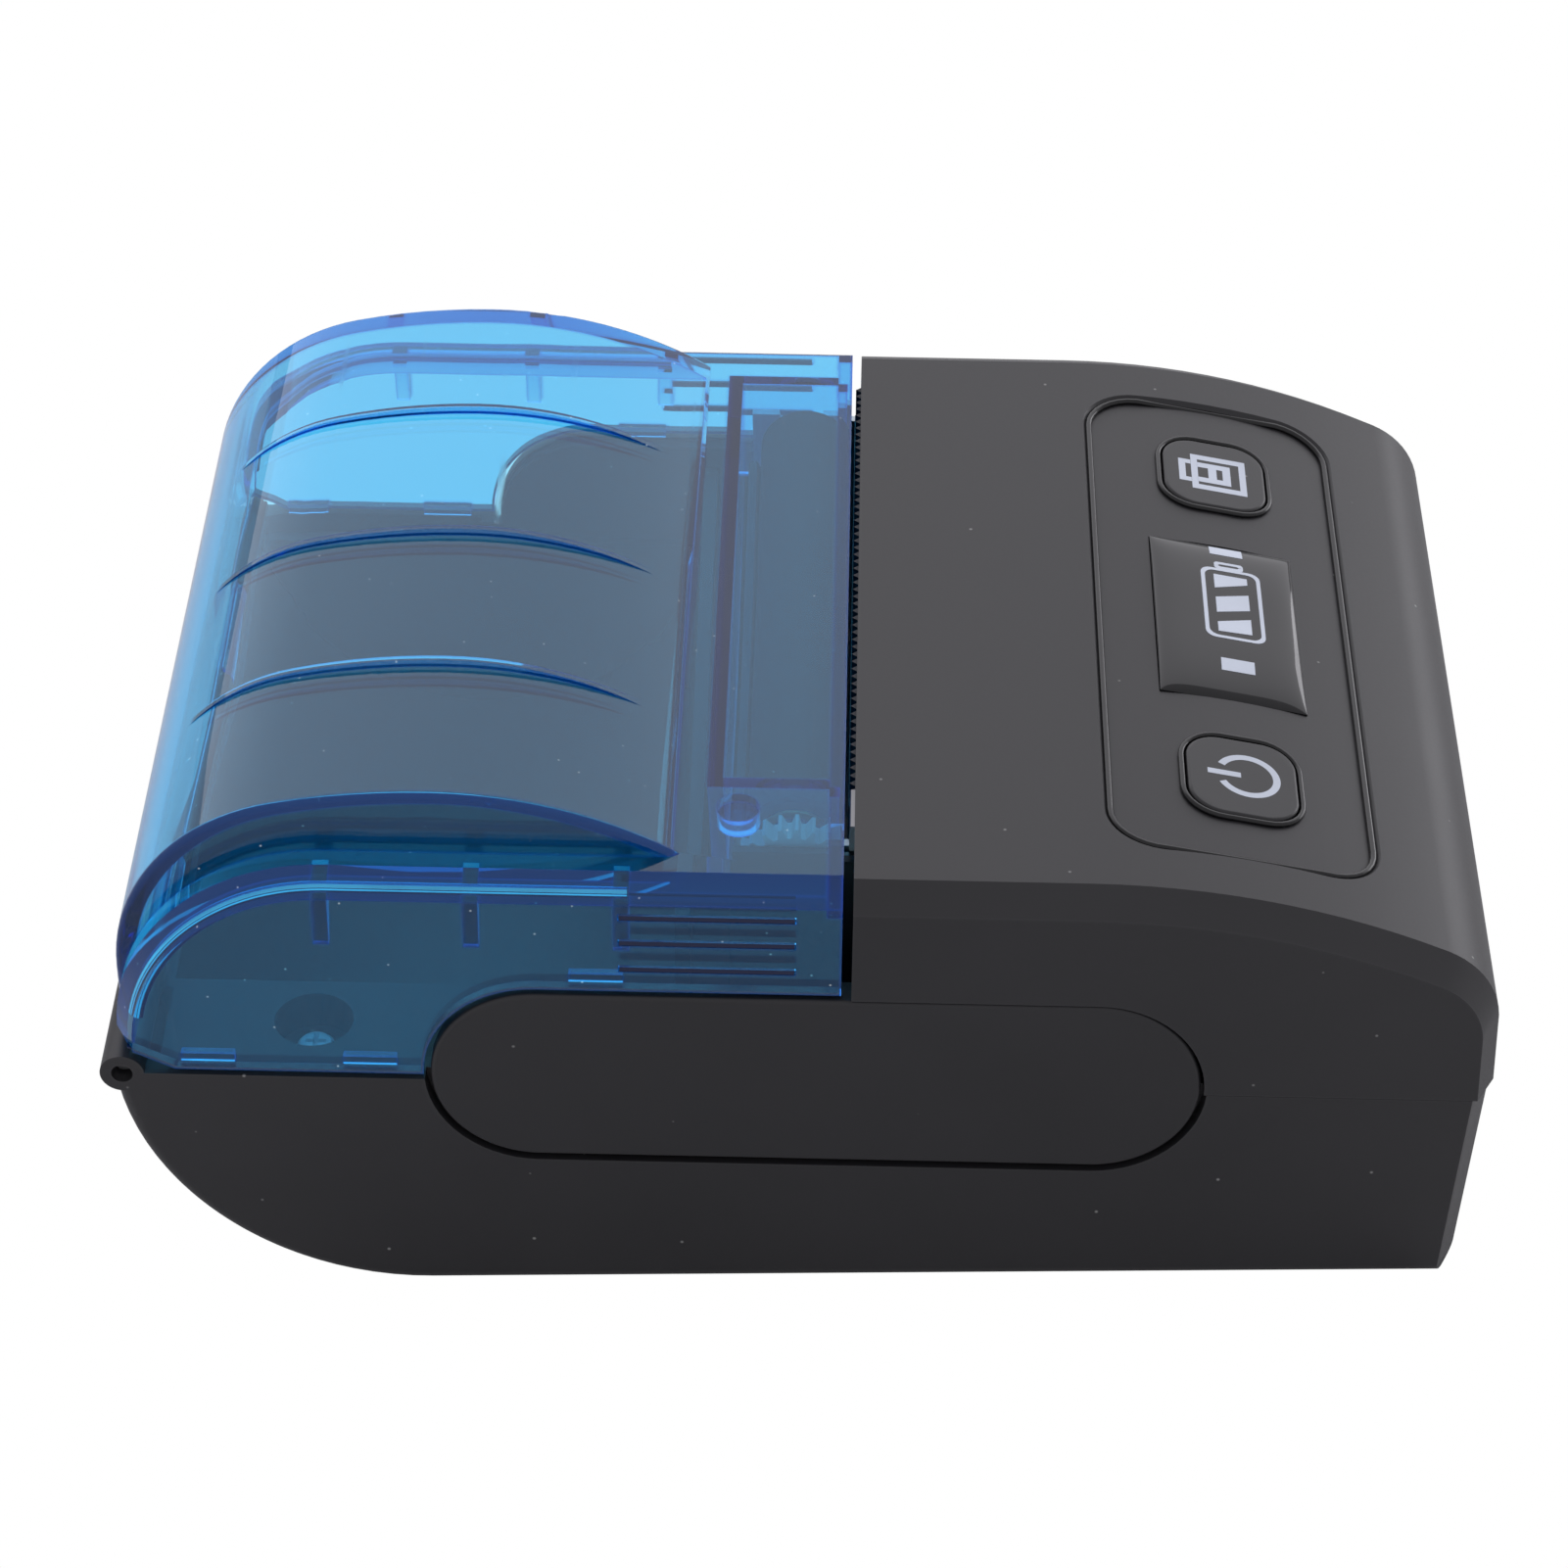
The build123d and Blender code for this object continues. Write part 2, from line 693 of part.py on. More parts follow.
tear_bar_seat = cover_height - tear_skin
with BuildPart() as upper_shell:
    add(cover_form.part)
    with BuildSketch(side_view(0)):
        with BuildLine():
            cover_side(cover_rear - 2 * case_wall, cover_foot - 2 * case_wall)
        make_face()
        offset(amount=-case_wall, kind=Kind.INTERSECTION)
    extrude(amount=side_inner, both=True, mode=Mode.SUBTRACT)
    with BuildSketch(side_view(0)):
        pill(panel_cover_gap)
    extrude(amount=case_half_width, both=True, mode=Mode.SUBTRACT)
    add(cover_posts.part)
    add(panel_recess.part, mode=Mode.SUBTRACT)
    recess_rim = [
        edge for edge in edges()
        if abs(edge.center().Z - crown_height(edge.center().X)) < near_enough
        and abs(edge.center().Y) < panel_half_length + near_enough
        and panel_rear - near_enough < edge.center().X < panel_front + near_enough
    ]
    chamfer(recess_rim, panel_border)
    # Button wells, label pocket and the window under it
    with BuildSketch(panel_plane):
        with Locations((0, -button_spread), (0, button_spread)):
            RectangleRounded(well_length, well_width, button_corner + button_gap)
    extrude(amount=-2 * case_wall, mode=Mode.SUBTRACT)
    with BuildSketch(panel_plane.offset(-window_foot)):
        Rectangle(label_length, label_width)
    extrude(amount=2 * case_wall, mode=Mode.SUBTRACT)
    with BuildSketch(panel_plane):
        Rectangle(window_length, window_width)
    extrude(amount=-2 * case_wall, mode=Mode.SUBTRACT)
    # Pilot holes and the rebate for the tear bar
    pilot_top = tower_seat + case_screw_length + boss_gap
    for place in case_screw_places:
        post(place, tower_top, pilot_top, screw_radius + pilot_fit, mode=Mode.SUBTRACT)
    with BuildSketch(panel_plane.offset(-key_board_top)):
        with Locations((0, -key_post_spread), (0, key_post_spread)):
            Circle(small_screw_radius + pilot_fit)
    extrude(amount=small_screw_length, mode=Mode.SUBTRACT)
    block((cover_rear - case_wall, cover_rear + tear_bar_width + boss_gap),
          (path_near - running_gap, path_far + running_gap),
          (tear_bar_seat - 2 * tear_bar_thickness, tear_bar_seat), mode=Mode.SUBTRACT)

# Paper tray: a half-round bay for the roll with a deck on its near side
bay_near = path_near - bay_side_play
bay_far = path_far + bay_side_play
tray_front = roll_centre_x + bay_radius + tray_wall
deck_near = deck_gap / 2 - backing_inner
deck_rear = roll_centre_x - bay_radius + deck_inset
well_floor = deck_height - well_depth
with BuildPart() as paper_tray:
    with BuildSketch(side_view(bay_far + tray_wall)):
        with Locations((roll_centre_x, roll_centre_z)):
            Circle(bay_radius + tray_wall)
            Rectangle(4 * bay_radius, 2 * bay_radius, align=(Align.CENTER, Align.MIN), mode=Mode.SUBTRACT)
            Rectangle(bay_radius + tray_wall, tray_front_height - roll_centre_z, align=(Align.MIN, Align.MIN))
    extrude(amount=bay_far - bay_near + 2 * tray_wall)
    block((deck_rear, tray_front), (deck_near, bay_near), (deck_height - tray_wall, deck_height))
    for place in tray_screw_places:
        post(place, well_floor - well_wall, deck_height, well_radius + well_wall)
    with BuildSketch(side_view(bay_far)):
        with Locations((roll_centre_x, roll_centre_z)):
            Circle(bay_radius)
            Rectangle(bay_radius, 2 * bay_radius, align=(Align.MIN, Align.MIN))
    extrude(amount=bay_far - bay_near, mode=Mode.SUBTRACT)
    # The near and rear walls end at the deck, the far one steps down to it behind the front wall
    block((deck_rear - 2 * tray_wall, tray_front + tray_wall), (bay_near - tray_wall, bay_near),
          (deck_height, tray_front_height + tray_wall), mode=Mode.SUBTRACT)
    block((deck_rear - 2 * tray_wall, tray_front - tray_wall), (bay_near, bay_far + tray_wall),
          (deck_height, tray_front_height + tray_wall), mode=Mode.SUBTRACT)
    for place in tray_screw_places:
        post(place, well_floor, deck_height, well_radius, mode=Mode.SUBTRACT)
        post(place, well_floor - well_wall, well_floor, small_screw_hole, mode=Mode.SUBTRACT)
    rod(hinge_x, hinge_z, (-tub_half_width, tub_half_width), barrel_radius + knuckle_gap, mode=Mode.SUBTRACT)

with BuildPart() as tray_screws:
    screw(Plane.XY.offset(well_floor), tray_screw_places, small_head_radius, small_head_height,
          small_screw_radius, small_screw_length)

# Gear train: the idler lies against the platen's swing, so that the lid lifts clear of it
swing_radius = hypot(platen_x - hinge_x, platen_height - hinge_z)
swing_x = (platen_height - hinge_z) / swing_radius
swing_z = -(platen_x - hinge_x) / swing_radius
mesh_distance = gear_module * (platen_teeth + idler_teeth) / 2 + gear_play
idler_x = platen_x + mesh_distance * swing_x
idler_z = platen_height + mesh_distance * swing_z
pinion_distance = gear_module * (idler_teeth + pinion_teeth) / 2 + gear_play
motor_x = idler_x + pinion_distance * cos(radians(motor_bearing))
motor_z = idler_z + pinion_distance * sin(radians(motor_bearing))
platen_tooth = atan2(swing_z, swing_x)
idler_step = 2 * pi / idler_teeth
idler_tooth = platen_tooth + pi + idler_step / 2
idler_turns = (radians(motor_bearing) - idler_tooth) / idler_step
idler_lead = (round(idler_turns) - idler_turns) * idler_step
pinion_tooth = radians(motor_bearing) + pi - idler_lead * idler_teeth / pinion_teeth + pi / pinion_teeth
notch_lean = -(180 / pi) * atan2(-swing_x, -swing_z)

# Mechanism frame: a bent sheet with two upright ends, a floor and a crossbar
pivot_height = head_foot + head_pivot_rise
sink_front = head_face + head_thickness + sink_thickness
pivot_x = sink_front - sink_thickness / 2
frame_floor_top = frame_floor_height + frame_floor
with BuildPart() as mechanism_frame:
    for far, front in ((near_sheet_inner, frame_front), (far_sheet_outer, frame_far_front)):
        with BuildSketch(side_view(far)):
            with BuildLine():
                Polyline(
                    (frame_rear, frame_floor_height),
                    (front, frame_floor_height),
                    (front, crossbar_foot),
                    (crossbar_place + 3 * frame_sheet, crossbar_top),
                    (crossbar_place - 2 * frame_sheet, crossbar_top),
                    (crossbar_place - 3 * frame_sheet, frame_top),
                    (frame_rear, frame_top),
                    close=True,
                )
            make_face()
            with Locations((platen_x, platen_height)):
                Circle(shaft_radius + notch_play, mode=Mode.SUBTRACT)
                Rectangle(2 * (shaft_radius + notch_play), 4 * shaft_radius, rotation=notch_lean,
                          align=(Align.CENTER, Align.MIN), mode=Mode.SUBTRACT)
            with Locations((pivot_x, pivot_height)):
                Circle(sink_thickness / 2 + axle_fit, mode=Mode.SUBTRACT)
        extrude(amount=frame_sheet)
    frame_near_far = (near_sheet_outer, far_sheet_outer)
    block((frame_rear, frame_far_front), frame_near_far, (frame_floor_height, frame_floor_top))
    block((crossbar_place, crossbar_place + frame_floor), frame_near_far, (crossbar_foot, crossbar_top))
    rod(idler_x, idler_z, (near_sheet_outer, near_sheet_inner), axle_radius + pilot_fit, mode=Mode.SUBTRACT)
    rod(motor_x, motor_z, (near_sheet_outer, near_sheet_inner), 2 * motor_shaft_radius, mode=Mode.SUBTRACT)
    for place in frame_screw_places:
        post(place, frame_floor_height, frame_floor_top, small_screw_hole, mode=Mode.SUBTRACT)

with BuildPart() as frame_screws:
    screw(Plane.XY.offset(frame_floor_top), frame_screw_places, small_head_radius, small_head_height,
          small_screw_radius, small_screw_length)

# Curved guide that leads the paper under the platen, with the paper sensor in its window
guide_inner = platen_radius + guide_gap
guide_near = path_near + bracket_wall + roller_end_gap
guide_far = path_far - bracket_wall - roller_end_gap
sensor_length, sensor_width, sensor_height = sensor_size
with BuildPart() as paper_guide:
    with BuildSketch(side_view(guide_far)):
        with BuildLine(Location((platen_x, platen_height))):
            CenterArc((0, 0), guide_inner + guide_wall / 2, guide_start, guide_sweep)
        trace(line_width=guide_wall)
    extrude(amount=guide_far - guide_near)
    leg_top = platen_height - sqrt((guide_inner + guide_wall / 2) ** 2 - (guide_leg_place - platen_x) ** 2)
    for middle in (path_centre - guide_leg_spread, path_centre + guide_leg_spread):
        leg_y = (middle - guide_leg_width / 2, middle + guide_leg_width / 2)
        block((guide_leg_place - guide_wall / 2, guide_leg_place + guide_wall / 2), leg_y,
              (frame_floor_top, leg_top))
        block((guide_leg_place - guide_wall / 2, guide_leg_place + 3 * guide_wall), leg_y,
              (frame_floor_top, frame_floor_top + guide_wall))
    with BuildSketch(Plane.XY.offset(platen_height - 2 * guide_inner)):
        with Locations((platen_x + guide_inner * cos(radians(sensor_angle)), path_centre)):
            Rectangle(sensor_length / 2, sensor_width / 2)
    extrude(amount=guide_inner, mode=Mode.SUBTRACT)

sensor_plane = Plane(
    origin=(platen_x, path_centre, platen_height),
    x_dir=(-sin(radians(sensor_angle)), 0, cos(radians(sensor_angle))),
    z_dir=(cos(radians(sensor_angle)), 0, sin(radians(sensor_angle))),
)
with BuildPart() as paper_sensor:
    with BuildSketch(sensor_plane.offset(guide_inner + guide_wall)):
        Rectangle(sensor_length, sensor_width)
    extrude(amount=sensor_height)
    chamfer(faces().sort_by(Axis.Z)[0].edges().filter_by(Axis.Y), sensor_height / 5)

# Print head on its heat sink, springs behind it and the flat cable to the board
head_near = path_near + head_side_gap
head_far = path_far - head_side_gap
with BuildPart() as thermal_head:
    block((head_face, head_face + head_thickness), (head_near, head_far), (head_foot, head_top))
    chamfer(edges().filter_by(Axis.Y).group_by(Axis.X)[0], head_thickness / 4)

with BuildPart() as head_heat_sink:
    block((sink_front - sink_thickness, sink_front), (head_near, head_far), (head_foot, head_top))
    rod(pivot_x, pivot_height, (near_sheet_outer, far_sheet_outer), sink_thickness / 2)
    for notch in range(-3, 4):
        notch_y = path_centre + notch * sink_notch_pitch
        block((sink_front - sink_thickness / 3, sink_front + sink_thickness),
              (notch_y - frame_sheet, notch_y + frame_sheet),
              (head_foot + sink_thickness, head_foot + 2 * sink_thickness), mode=Mode.SUBTRACT)

with BuildPart() as head_springs:
    with BuildSketch(Plane.YZ.offset(sink_front)):
        with Locations(*[(path_centre + side * head_spring_spread, platen_height) for side in (-1, 1)]):
            Circle(head_spring_radius)
            Circle(head_spring_radius / 2, mode=Mode.SUBTRACT)
    extrude(amount=crossbar_place - sink_front)

cable_height = board_top + cable_thickness
socket_rear = board_rear + 2 * cable_bend
with BuildPart() as head_flex:
    cable_x = head_face + head_thickness / 2
    with BuildSketch(side_view(path_centre + cable_width / 2)):
        with BuildLine():
            drop = Line((cable_x, head_foot), (cable_x, cable_height + cable_bend))
            bend = RadiusArc(drop @ 1, (cable_x + cable_bend, cable_height), -cable_bend)
            Line(bend @ 1, (socket_rear + cable_bend, cable_height))
        trace(line_width=cable_thickness)
    extrude(amount=cable_width)

# Tear bar under the front cover's rear edge, and the clip beside it
tear_near = path_near - boss_gap
tear_far = path_far - boss_gap
tooth_count = int((tear_far - tear_near) / tear_pitch)
with BuildPart() as tear_bar:
    with BuildSketch(Plane.XY.offset(tear_bar_seat)):
        with BuildLine():
            outline = [(tear_tip + tear_bar_width, tear_near), (tear_tip + tear_depth, tear_near)]
            for tooth in range(tooth_count):
                outline.append((tear_tip, tear_near + (tooth + 0.5) * tear_pitch))
                outline.append((tear_tip + tear_depth, tear_near + (tooth + 1) * tear_pitch))
            outline.append((tear_tip + tear_depth, tear_far))
            outline.append((tear_tip + tear_bar_width, tear_far))
            Polyline(*outline, close=True)
        make_face()
    extrude(amount=-tear_bar_thickness)

with BuildPart() as tear_bar_clip:
    clip_near = tear_near - clip_length
    with BuildSketch(Plane.XY.offset(cover_height - clip_thickness / 4)):
        with BuildLine():
            Polyline((cover_rear, clip_near), (cover_rear, tear_near - boss_gap),
                     (cover_rear - clip_thickness, tear_near - boss_gap),
                     (cover_rear - clip_thickness, clip_near), close=True)
        make_face()
    extrude(amount=-clip_height)
    fillet(faces().sort_by(Axis.X)[0].edges().filter_by(Axis.Y), clip_thickness / 3)

# Drive motor, its pinion, the idler on its axle and the cover over the gears
with BuildPart() as drive_motor:
    motor_far = near_sheet_inner + motor_length
    rod(motor_x, motor_z, (near_sheet_inner, motor_far), motor_radius)
    fillet(edges().group_by(Axis.Y)[-1], motor_radius / 10)
    rod(motor_x, motor_z, (motor_far, motor_far + frame_sheet), motor_radius / 3)
    rod(motor_x, motor_z, (near_sheet_inner, near_sheet_inner + motor_length / 3),
        motor_shaft_radius + axle_fit, mode=Mode.SUBTRACT)

with BuildPart() as motor_pinion:
    gear(motor_x, motor_z, (gear_near, gear_far), pinion_teeth, pinion_tooth)
    rod(motor_x, motor_z, (gear_near, near_sheet_inner + motor_length / 4), motor_shaft_radius)

with BuildPart() as idler_gear:
    gear(idler_x, idler_z, (gear_near, gear_far), idler_teeth, idler_tooth, axle_radius + axle_fit)
    web_outer = gear_module * (idler_teeth / 2 - 2.5)
    with BuildSketch(side_view(gear_near)):
        with Locations((idler_x, idler_z)):
            Circle(web_outer)
            Circle(2 * axle_radius, mode=Mode.SUBTRACT)
    extrude(amount=-gear_width / 4, mode=Mode.SUBTRACT)

with BuildPart() as idler_axle:
    rod(idler_x, idler_z, (gear_cover_far, near_sheet_inner), axle_radius)
    rod(idler_x, idler_z, (near_sheet_outer - running_gap / 2, near_sheet_outer), 1.6 * axle_radius)

cover_shelf = idler_z - gear_module * (idler_teeth / 2 + 1) - 2 * running_gap
with BuildPart() as gear_cover:
    plate_y = (gear_cover_far - gear_cover_thickness, gear_cover_far)
    with BuildSketch(side_view(plate_y[1])):
        with BuildLine():
            Polyline(
                (frame_rear, cover_shelf - gear_cover_thickness),
                (gear_cover_front, cover_shelf - gear_cover_thickness),
                (gear_cover_front, motor_z + 2 * gear_cover_thickness),
                (crossbar_place, gear_cover_top),
                (frame_rear, gear_cover_top),
                close=True,
            )
        make_face()
    extrude(amount=gear_cover_thickness)
    block((frame_rear, gear_cover_front), (gear_cover_far, near_sheet_outer),
          (cover_shelf - gear_cover_thickness, cover_shelf))
    block((gear_cover_front - gear_cover_thickness, gear_cover_front), (gear_cover_far, near_sheet_outer),
          (cover_shelf, motor_z + 2 * gear_cover_thickness))

# Main board with its parts, the port, and the contacts towards the battery
with BuildPart() as main_board:
    block((board_rear, board_front), (board_near, board_far), (board_height, board_top))
    for x, y in case_screw_places:
        notch = cover_boss_radius + 2 * cover_play
        side = 1 if y > 0 else -1
        edge_y = sorted((y - side * notch, side * case_half_width))
        block((x - notch, x + 2 * notch), edge_y, (board_height, board_top), mode=Mode.SUBTRACT)
    for place in board_screw_places:
        post(place, board_height, board_top, small_screw_hole, mode=Mode.SUBTRACT)

with BuildPart() as board_screws:
    screw(Plane.XY.offset(board_top), board_screw_places, small_head_radius, small_head_height,
          small_screw_radius, small_screw_length)

with BuildPart() as board_parts:
    for x, y, length, width, height in board_chips:
        block((board_rear + x, board_rear + x + length), (board_near + y, board_near + y + width),
              (board_top, board_top + height))
    cable_near = path_centre - cable_width / 2
    cable_far = path_centre + cable_width / 2
    block((socket_rear, socket_rear + 2 * cable_bend),
          (cable_near - cable_socket_side, cable_far + cable_socket_side),
          (board_top, board_top + cable_socket_height))
    block((socket_rear - cable_bend, socket_rear + cable_bend + axle_fit),
          (cable_near - axle_fit, cable_far + axle_fit),
          (cable_height - cable_thickness / 2 - axle_fit, cable_height + cable_thickness / 2 + axle_fit),
          mode=Mode.SUBTRACT)
    for x, y in board_caps:
        post((board_rear + x, board_near + y), board_top, board_top + board_cap_height, board_cap_radius)

with BuildPart() as usb_socket:
    socket_far = backing_inner + backing_wall / 2
    block((usb_place - usb_width / 2, usb_place + usb_width / 2), (board_far - usb_length, socket_far),
          (board_top, board_top + usb_height))
    block((usb_place - usb_width / 2 + usb_wall, usb_place + usb_width / 2 - usb_wall),
          (board_far - usb_length + 2 * usb_wall, socket_far),
          (board_top + usb_wall, board_top + usb_height - usb_wall), mode=Mode.SUBTRACT)
    block((usb_place - usb_width / 4, usb_place + usb_width / 4),
          (board_far - usb_length + usb_wall, socket_far - usb_wall),
          (port_height - usb_tongue / 2, port_height + usb_tongue / 2))

cell_foot = case_wall + cell_play / 2
contact_x = bay_front - cell_radius
with BuildPart() as battery_contacts:
    battery_top = underside(contact_x) + cell_foot / cos(radians(base_lean)) + 2 * cell_radius
    leaf_height = board_height - contact_sheet / 2
    for middle in (-contact_spacing, 0, contact_spacing):
        with BuildSketch(side_view(middle + contact_width / 2)):
            with BuildLine():
                Polyline((contact_x + contact_reach, leaf_height), (contact_x - contact_reach, leaf_height),
                         (contact_x - contact_reach, leaf_height - contact_sheet),
                         (contact_x, battery_top + 1.5 * contact_sheet))
            trace(line_width=contact_sheet)
        extrude(amount=contact_width)

# Battery: two round cells side by side in one wrap
cell_spread = 2 * cell_radius + cell_gap
cells_middle = (bay_rear + bay_front) / 2 - underside_datum
cell_plane = Plane(
    origin=(underside_datum, bay_half_width - cell_gap, 0),
    x_dir=base_plane.x_dir,
    z_dir=(0, -1, 0),
)
with BuildPart() as battery_pack:
    with BuildSketch(cell_plane):
        for side in (-1, 1):
            with Locations((cells_middle + side * cell_spread / 2, cell_foot + cell_radius)):
                Circle(cell_radius)
        with Locations((cells_middle, cell_foot + cell_radius)):
            Rectangle(cell_spread, 2 * cell_radius)
    extrude(amount=2 * (bay_half_width - cell_gap))
    fillet(edges().group_by(Axis.Y)[0] + edges().group_by(Axis.Y)[-1], cell_gap)

with BuildPart() as battery_cover:
    base_block((plate_rear, plate_front), (-plate_half_width, plate_half_width), (0, cover_plate))
    for side in (-1, 1):
        base_block((plate_front - tongue_length, plate_front + tongue_length),
                   (side * tongue_spread - tongue_width / 2, side * tongue_spread + tongue_width / 2),
                   (tongue_foot, cover_plate))
    for ridge in range(cover_grip_lines):
        ridge_place = plate_rear + cover_grip_start + ridge * cover_grip_pitch
        base_block((ridge_place, ridge_place + cover_grip_pitch / 2), (-tongue_width, tongue_width),
                   (-cover_plate, cover_plate / 4), mode=Mode.SUBTRACT)

with BuildPart() as case_screws:
    seat_plane = Plane(origin=(0, 0, tower_seat), x_dir=(1, 0, 0), z_dir=(0, 0, -1))
    screw(seat_plane, case_screw_places, screw_head_radius, screw_head_height, screw_radius,
          case_screw_length)

# Key board under the control panel: switches, lamps, light guide and label
with BuildPart() as key_board:
    key_length, key_width, key_thickness = key_board_size
    with BuildSketch(panel_plane.offset(-key_board_top)):
        RectangleRounded(key_length, key_width, small_head_radius)
        with Locations((0, -key_post_spread), (0, key_post_spread)):
            Circle(small_screw_hole, mode=Mode.SUBTRACT)
    extrude(amount=-key_thickness)

with BuildPart() as key_board_screws:
    below_board = panel_plane.offset(-key_board_top - key_thickness)
    head_plane = Plane(origin=below_board.origin, x_dir=below_board.x_dir, z_dir=-below_board.z_dir)
    screw(head_plane, ((0, -key_post_spread), (0, key_post_spread)), small_head_radius, small_head_height,
          small_screw_radius, small_screw_length)

with BuildPart() as tact_switches:
    with BuildSketch(panel_plane.offset(-key_board_top)):
        with Locations((0, -button_spread), (0, button_spread)):
            Rectangle(switch_size, switch_size)
    extrude(amount=switch_height - plunger_height)
    chamfer(edges().filter_by(panel_axis), plunger_height / 2)
    with BuildSketch(panel_plane.offset(switch_height - plunger_height - key_board_top)):
        with Locations((0, -button_spread), (0, button_spread)):
            Circle(plunger_radius)
    extrude(amount=plunger_height)

lamp_length, lamp_width, lamp_height = lamp_size
with BuildPart() as indicator_leds:
    with BuildSketch(panel_plane.offset(-key_board_top)):
        with Locations(*[(0, y) for y in lamp_places]):
            Rectangle(lamp_width, lamp_length)
    extrude(amount=lamp_height)

with BuildPart() as light_guide:
    with BuildSketch(panel_plane.offset(-window_foot)):
        Rectangle(window_length - 2 * axle_fit, window_width - 2 * axle_fit)
    extrude(amount=window_foot + lamp_height + lamp_gap - key_board_top)
    with BuildSketch(panel_plane.offset(-case_wall - 2 * axle_fit)):
        Rectangle(window_length + 2 * lamp_height, window_width + 2 * lamp_height)
    extrude(amount=-lamp_height)

with BuildPart() as indicator_label:
    with BuildSketch(panel_plane.offset(-window_foot)):
        Rectangle(label_length - 2 * axle_fit, label_width - 2 * axle_fit)
    extrude(amount=case_wall)
    crown_drum(panel_sink - label_rise, mode=Mode.INTERSECT)
    fillet(edges().filter_by(GeomType.LINE, reverse=True) + edges().group_by(Axis.Z)[-1], label_rise / 2)


def button(y):
    """A button at y in the control panel: cap, flange under the skin and stem, inside a BuildPart."""
    with BuildSketch(panel_plane.offset(button_rise - panel_sink)) as cap:
        with Locations((0, y)):
            RectangleRounded(button_length, button_width, button_corner)
    extrude(cap.sketch, amount=panel_sink - button_rise - flange_top)
    fillet(edges().group_by(panel_axis)[-1], button_rise)
    with BuildSketch(panel_plane.offset(-flange_top)) as flange:
        with Locations((0, y)):
            RectangleRounded(button_length + 2 * button_flange, button_width + 2 * button_flange,
                             button_corner)
    extrude(flange.sketch, amount=-button_flange_thickness)
    with BuildSketch(panel_plane.offset(-flange_top - button_flange_thickness)) as stem:
        with Locations((0, y)):
            Circle(button_stem_radius)
    extrude(stem.sketch, amount=-button_stem)


with BuildPart() as feed_button:
    button(button_spread)

with BuildPart() as power_button:
    button(-button_spread)

# Lid: a clear shell with a dome over the roll
lid_band_width = band_width - case_half_width + lid_half_width
lid_corner = (lid_rear + lid_corner_radius, lid_height - lid_corner_radius)


def lid_side():
    """Outer side outline of the lid without its dome, inside a BuildLine."""
    front = Line((lid_front, hem), (lid_front, lid_height))
    top = Line(front @ 1, (lid_rear + lid_corner_radius, lid_height))
    corner_end = max(lid_corner[1], hem + hinge_bevel_height + near_enough)
    corner_sweep = 90 - (180 / pi) * asin((corner_end - lid_corner[1]) / lid_corner_radius)
    corner = CenterArc(lid_corner, lid_corner_radius, 90, corner_sweep)
    wall = Line(corner @ 1, ((corner @ 1).X, hem + hinge_bevel_height))
    bevel = Line(wall @ 1, (lid_rear + hinge_bevel_length, hem))
    Line(bevel @ 1, front @ 0)


def dome_side(grow):
    """Side outline of the dome down to its foot, grown by a wall, inside a BuildLine."""
    slope_angle = (180 / pi) * asin((dome_front - dome_peak_x) / dome_front_radius)
    slope_centre = (dome_peak_x, dome_peak - dome_front_radius)
    slope = CenterArc(slope_centre, dome_front_radius + grow, 90, -slope_angle)
    back_angle = (180 / pi) * dome_back_angle
    back = CenterArc(dome_back_centre, dome_back_radius + grow, 90, back_angle)
    rear = CenterArc((dome_corner_x, dome_corner_z), dome_corner_radius + grow,
                     90 + back_angle, 90 - back_angle)
    Polyline(rear @ 1, ((rear @ 1).X, dome_foot), ((slope @ 1).X, dome_foot), slope @ 1)


with BuildPart() as lid_form:
    with BuildSketch(side_view(0)):
        with BuildLine():
            lid_side()
        make_face()
    extrude(amount=lid_half_width, both=True)
    for end in (0, -1):
        flank = faces().sort_by(Axis.Y)[end]
        rim = [
            edge for edge in flank.edges()
            if edge.center().Z > hem + hinge_bevel_height and edge.center().X < lid_front - near_enough
        ]
        chamfer(rim, length=band_drop, length2=lid_band_width, reference=flank)

with BuildPart() as dome_form:
    with BuildSketch(side_view(0)):
        with BuildLine():
            dome_side(0)
        make_face()
    extrude(amount=dome_half_width, both=True)
    crest = [
        edge for edge in edges()
        if abs(abs(edge.center().Y) - dome_half_width) < near_enough
        and edge.center().Z > dome_foot + near_enough and edge.center().X < dome_front - near_enough
    ]
    fillet(crest, dome_edge_round)

fin_bend_reach = dome_back_radius + fin_bend_height
with BuildPart() as dome_fins:
    with BuildSketch(side_view(0)):
        with BuildLine():
            crest_point = (dome_peak_x, dome_peak + fin_height)
            bend_point = (
                dome_back_centre[0] - fin_bend_reach * sin(dome_back_angle),
                dome_back_centre[1] + fin_bend_reach * cos(dome_back_angle),
            )
            front_arc = TangentArc(crest_point, (fin_front, dome_height(fin_front)), tangent=(1, 0))
            back_arc = TangentArc(crest_point, bend_point, tangent=(-1, 0))
            rear_arc = TangentArc(bend_point, (fin_rear, dome_height(fin_rear)), tangent=back_arc % 1)
            Polyline(rear_arc @ 1, (dome_peak_x, dome_height(fin_rear) - lid_wall), front_arc @ 1)
        make_face()
    extrude(amount=fin_thickness / 2, both=True)

